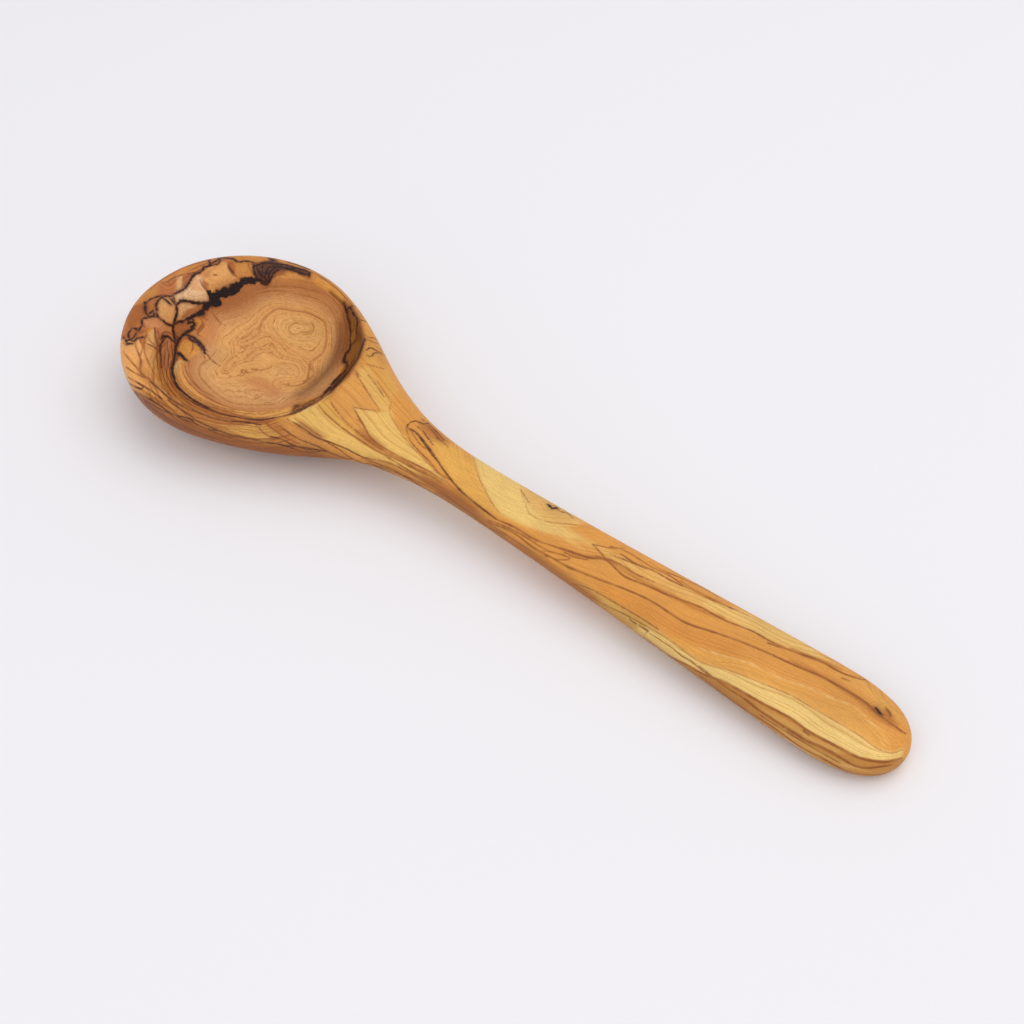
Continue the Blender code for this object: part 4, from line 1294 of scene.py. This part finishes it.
# Growth levels, moved by long waves along the grain, by ripples and by a fine rag
layers = {}
for name, reaches in GROWTH_SHAKEN.items():
    level = add(tree, "Attribute", attribute_name=name).outputs["Fac"]
    for noise, reach in zip((wave, ripple, ragged), reaches):
        level = shaken(tree, level, noise, reach)
    layers[name] = level

# Sapwood: the fields where the photo shows it, with their painted shade, and bands of the growth layers where
# it doesn't
along = add(tree, "SeparateXYZ", {0: place}).outputs["X"]
in_handle = add(tree, "MapRange", {
    "Value": along, "From Min": NECK_ENDS, "From Max": HANDLE_BEGINS,
}, interpolation_type="SMOOTHSTEP").outputs[0]
neck = banded(tree, layers["sap_growth"], NECK_BANDS)
handle = banded(tree, layers["sap_growth"], HANDLE_BANDS)
bands = add(tree, "Mix", {0: in_handle, 6: neck, 7: handle}, data_type="RGBA").outputs[2]
fields = add(tree, "Attribute", attribute_name="field_tone").outputs["Color"]
shown_share = add(tree, "Attribute", attribute_name="shown").outputs["Fac"]
sap = add(tree, "Mix", {0: shown_share, 6: bands, 7: fields}, data_type="RGBA").outputs[2]
hidden_share = add(tree, "Math", {0: 1.0, 1: shown_share}, operation="SUBTRACT").outputs[0]

# Sapwood lines where the photo doesn't show it, with a strength of their own in the neck and in the handle
lines = None
for level, half_width, neck_strength, handle_strength in SAP_LINES:
    gap = add(tree, "Math", {0: layers["sap_growth"], 1: level}, operation="SUBTRACT").outputs[0]
    size = add(tree, "Math", {0: gap}, operation="ABSOLUTE").outputs[0]
    strength = add(tree, "MapRange", {
        "Value": in_handle, "To Min": neck_strength, "To Max": handle_strength,
    }).outputs[0]
    mark = add(tree, "MapRange", {
        "Value": size, "From Min": half_width * 2, "From Max": 0.0, "To Max": strength,
    }, interpolation_type="SMOOTHSTEP").outputs[0]
    if lines is None:
        lines = mark
    else:
        lines = add(tree, "Math", {0: lines, 1: mark}, operation="MAXIMUM").outputs[0]
fade = add(tree, "MapRange", {
    "Value": ripple, "From Min": 0.35, "From Max": 0.6, "To Min": 0.5, "To Max": 1.0,
}).outputs[0]
lines = add(tree, "Math", {0: lines, 1: fade}, operation="MULTIPLY").outputs[0]
lines = add(tree, "Math", {0: lines, 1: hidden_share}, operation="MULTIPLY").outputs[0]
sap = add(tree, "Mix", {0: lines, 6: sap, 7: linear("#6f3a19")}, data_type="RGBA").outputs[2]

# Fine rings of the sapwood
fine_sap = add(tree, "TexNoise", {
    "W": layers["sap_growth"], "Scale": SAP_LEVEL_MM / SAP_RING_MM, "Detail": 4.0, "Roughness": 0.75,
}, noise_dimensions="1D").outputs[0]
sap_rings = add(tree, "MapRange", {
    "Value": fine_sap, "From Min": 0.5, "From Max": 0.7, "To Max": 0.6,
}).outputs[0]
sap = add(tree, "Mix", {0: sap_rings, 6: sap, 7: linear("#b26f30")}, data_type="RGBA").outputs[2]

# Heartwood: broad bands and fine rings, as noise along the growth level only
heartwood = banded(tree, layers["heart_growth"], HEART_BANDS)
broken = add(tree, "MapRange", {
    "Value": ragged, "From Min": 0.38, "From Max": 0.62, "To Min": 0.35, "To Max": 1.3,
}).outputs[0]
for width_mm, low, high, strength, ring_colour in HEART_RINGS:
    noise = add(tree, "TexNoise", {
        "W": layers["heart_growth"], "Scale": HEART_LEVEL_MM / width_mm, "Detail": 2.0, "Roughness": 0.6,
    }, noise_dimensions="1D").outputs[0]
    rings = add(tree, "MapRange", {
        "Value": noise, "From Min": low, "From Max": high, "To Max": strength,
    }).outputs[0]
    rings = add(tree, "Math", {0: rings, 1: broken}, operation="MULTIPLY").outputs[0]
    heartwood = add(tree, "Mix", {
        0: rings, 6: heartwood, 7: linear(ring_colour),
    }, data_type="RGBA").outputs[2]
heartwood = add(tree, "HueSaturation", {
    "Hue": 0.506, "Saturation": 0.95, "Value": 1.14, "Color": heartwood,
}).outputs[0]

# Burl over the sapwood and heartwood over both, with the softness and the jag of their edges in pixels
burl = add(tree, "Attribute", attribute_name="burl_tone").outputs["Color"]
marbling = add(tree, "Math", {0: cloud, 1: MARBLING_RINGS}, operation="MULTIPLY").outputs[0]
marbling = add(tree, "TexNoise", {
    "W": marbling, "Scale": 1.0, "Detail": 2.0, "Roughness": 0.65,
}, noise_dimensions="1D").outputs[0]
marbling = add(tree, "MapRange", {
    "Value": marbling, "From Min": 0.48, "From Max": 0.66, "To Max": 0.16,
}).outputs[0]
burl = add(tree, "Mix", {0: marbling, 6: burl, 7: linear("#905228")}, data_type="RGBA").outputs[2]
colour = sap
for name, edge, jag, layer_colour in (("burl", 6.0, 8.0, burl), ("heart", 1.0, 0.9, heartwood)):
    side = add(tree, "Attribute", attribute_name=name).outputs["Fac"]
    side = shaken(tree, side, ragged, jag)
    share = add(tree, "MapRange", {"Value": side, "From Min": -edge, "From Max": edge}).outputs[0]
    colour = add(tree, "Mix", {0: share, 6: colour, 7: layer_colour}, data_type="RGBA").outputs[2]

# Patches: stains of the wood, and painted shade from the umber ones on the hollow's handle-side wall
for name, (tone, _) in PATCHES.items():
    share = add(tree, "Attribute", attribute_name=name + "_patch").outputs["Fac"]
    share = add(tree, "Math", {0: share, 1: PATCH_STRENGTH}, operation="MULTIPLY").outputs[0]
    colour = add(tree, "Mix", {0: share, 6: colour, 7: linear(tone)}, data_type="RGBA").outputs[2]

# Fine dark growth along the rim of the hollow
rim_place = add(tree, "Attribute", attribute_name="heart").outputs["Fac"]
rim_place = shaken(tree, rim_place, ripple, RIM_SHAKEN)
rim_rings = add(tree, "TexNoise", {
    "W": rim_place, "Scale": 1 / (RIM_RING_MM * PIXELS_PER_MM), "Detail": 2.0, "Roughness": 0.6,
}, noise_dimensions="1D").outputs[0]
rim_rings = add(tree, "MapRange", {"Value": rim_rings, "From Min": 0.43, "From Max": 0.56}).outputs[0]
rim_share = add(tree, "Attribute", attribute_name="rim").outputs["Fac"]
rim_share = add(tree, "MapRange", {
    "Value": rim_share, "From Min": -3.0, "From Max": 4.0, "To Max": 0.7,
}).outputs[0]
rim_rings = add(tree, "Math", {0: rim_rings, 1: rim_share}, operation="MULTIPLY").outputs[0]
colour = add(tree, "Mix", {0: rim_rings, 6: colour, 7: linear("#885026")}, data_type="RGBA").outputs[2]

# Growth crowded round the black veins: thin brown lines that follow them
vein_depth = add(tree, "Attribute", attribute_name="black_vein").outputs["Fac"]
echo_place = shaken(tree, vein_depth, ripple, ECHO_SHAKEN_MM)
echo = add(tree, "TexNoise", {
    "W": echo_place, "Scale": 1 / ECHO_MM, "Detail": 2.0, "Roughness": 0.6,
}, noise_dimensions="1D").outputs[0]
echo = add(tree, "MapRange", {"Value": echo, "From Min": 0.5, "From Max": 0.66}).outputs[0]
echo_fade = add(tree, "MapRange", {
    "Value": vein_depth, "From Min": -3.5, "From Max": -0.3, "To Max": 0.75,
}).outputs[0]
echo = add(tree, "Math", {0: echo, 1: echo_fade}, operation="MULTIPLY").outputs[0]
colour = add(tree, "Mix", {0: echo, 6: colour, 7: linear("#84481f")}, data_type="RGBA").outputs[2]

# Slow drift of tone, short streaks along the handle and fine grit, each darker and lighter by a few per cent
value = 1.0
for noise, darkest, lightest in ((cloud, 0.93, 1.08), (fibre, 0.9, 1.08), (grit, 0.93, 1.06)):
    tone = add(tree, "MapRange", {
        "Value": noise, "From Min": 0.3, "From Max": 0.7, "To Min": darkest, "To Max": lightest,
    }).outputs[0]
    value = add(tree, "Math", {0: value, 1: tone}, operation="MULTIPLY").outputs[0]
colour = add(tree, "HueSaturation", {"Value": value, "Saturation": 1.03, "Color": colour}).outputs[0]

# Lines, veins and bark, with ragged edges
flecks = add(tree, "MapRange", {
    "Value": grit, "From Min": 0.33, "From Max": 0.5, "To Min": 0.85, "To Max": 1.0,
}).outputs[0]
for name, ink, edge, jag, strength in INKS:
    depth = add(tree, "Attribute", attribute_name=name).outputs["Fac"]
    depth = shaken(tree, depth, lumps if name == "bark" else ragged, jag)
    mark = add(tree, "MapRange", {
        "Value": depth, "From Min": -edge, "From Max": edge * FULL_INSIDE, "To Max": strength,
    }, interpolation_type="SMOOTHSTEP").outputs[0]
    if name == "bark":
        mark = add(tree, "Math", {0: mark, 1: flecks}, operation="MULTIPLY").outputs[0]
    if name.endswith("line"):
        mark = add(tree, "Math", {0: mark, 1: fade}, operation="MULTIPLY").outputs[0]
    colour = add(tree, "Mix", {0: mark, 6: colour, 7: linear(ink)}, data_type="RGBA").outputs[2]

# Satin surface with open pores
pores = add(tree, "Bump", {"Height": fibre, "Strength": 0.12, "Distance": PORE_DEPTH}).outputs[0]
roughness = add(tree, "MapRange", {
    "Value": fibre, "From Min": 0.3, "From Max": 0.7, "To Min": 0.4, "To Max": 0.5,
}).outputs[0]
surface = add(tree, "BsdfPrincipled", {
    "Base Color": colour,
    "Roughness": roughness,
    "IOR": 1.5,
    "Specular IOR Level": 0.25,
    "Normal": pores,
}).outputs[0]
add(tree, "OutputMaterial", {"Surface": surface})
skin_mesh.materials.clear()
skin_mesh.materials.append(olive)

# Floor, large enough to fill the view. Matt paint: it shows no reflection, only the ladle's soft shadow
FLOOR_HALF = 4.0
floor_shape = bmesh.new()
bmesh.ops.create_grid(floor_shape, x_segments=1, y_segments=1, size=FLOOR_HALF)
floor_mesh = bpy.data.meshes.new("floor")
floor_shape.to_mesh(floor_mesh)
floor_shape.free()
floor = bpy.data.objects.new("floor", floor_mesh)
bpy.context.collection.objects.link(floor)
paint = bpy.data.materials.new("pale matt paint")
paint.use_nodes = True
paint.node_tree.nodes.clear()
matt = add(paint.node_tree, "BsdfPrincipled", {
    "Base Color": linear("#f0f0f3"),
    "Roughness": 0.9,
    "Specular IOR Level": 0.2,
}).outputs[0]
add(paint.node_tree, "OutputMaterial", {"Surface": matt})
floor_mesh.materials.append(paint)

# Soft studio light: a pale sky and two lamps, each with its power in watts and its way right, away and up
SKY_STRENGTH = 0.68
LAMP_SIDE = 2.2
LAMP_AWAY = 2.0
LAMPS = [
    ("soft_key", 17.0, (0.7, 0.2, 1.7)),
    ("soft_fill", 12.0, (-0.5, -1.0, 0.9)),
]

sky = bpy.data.worlds.new("studio")
bpy.context.scene.world = sky
sky.use_nodes = True
background = sky.node_tree.nodes["Background"]
background.inputs["Color"].default_value = linear("#f1f3fb")
background.inputs["Strength"].default_value = SKY_STRENGTH

for name, power, (to_right, to_back, to_top) in LAMPS:
    direction = right * to_right + away * to_back + up * to_top
    lamp = bpy.data.objects.new(name, bpy.data.lights.new(name, "AREA"))
    lamp.data.size = LAMP_SIDE
    lamp.data.energy = power
    lamp.data.color = linear("#fff7ec")[:3]
    lamp.location = direction.normalized() * LAMP_AWAY
    lamp.rotation_euler = (-direction).to_track_quat("-Z", "Y").to_euler()
    bpy.context.collection.objects.link(lamp)
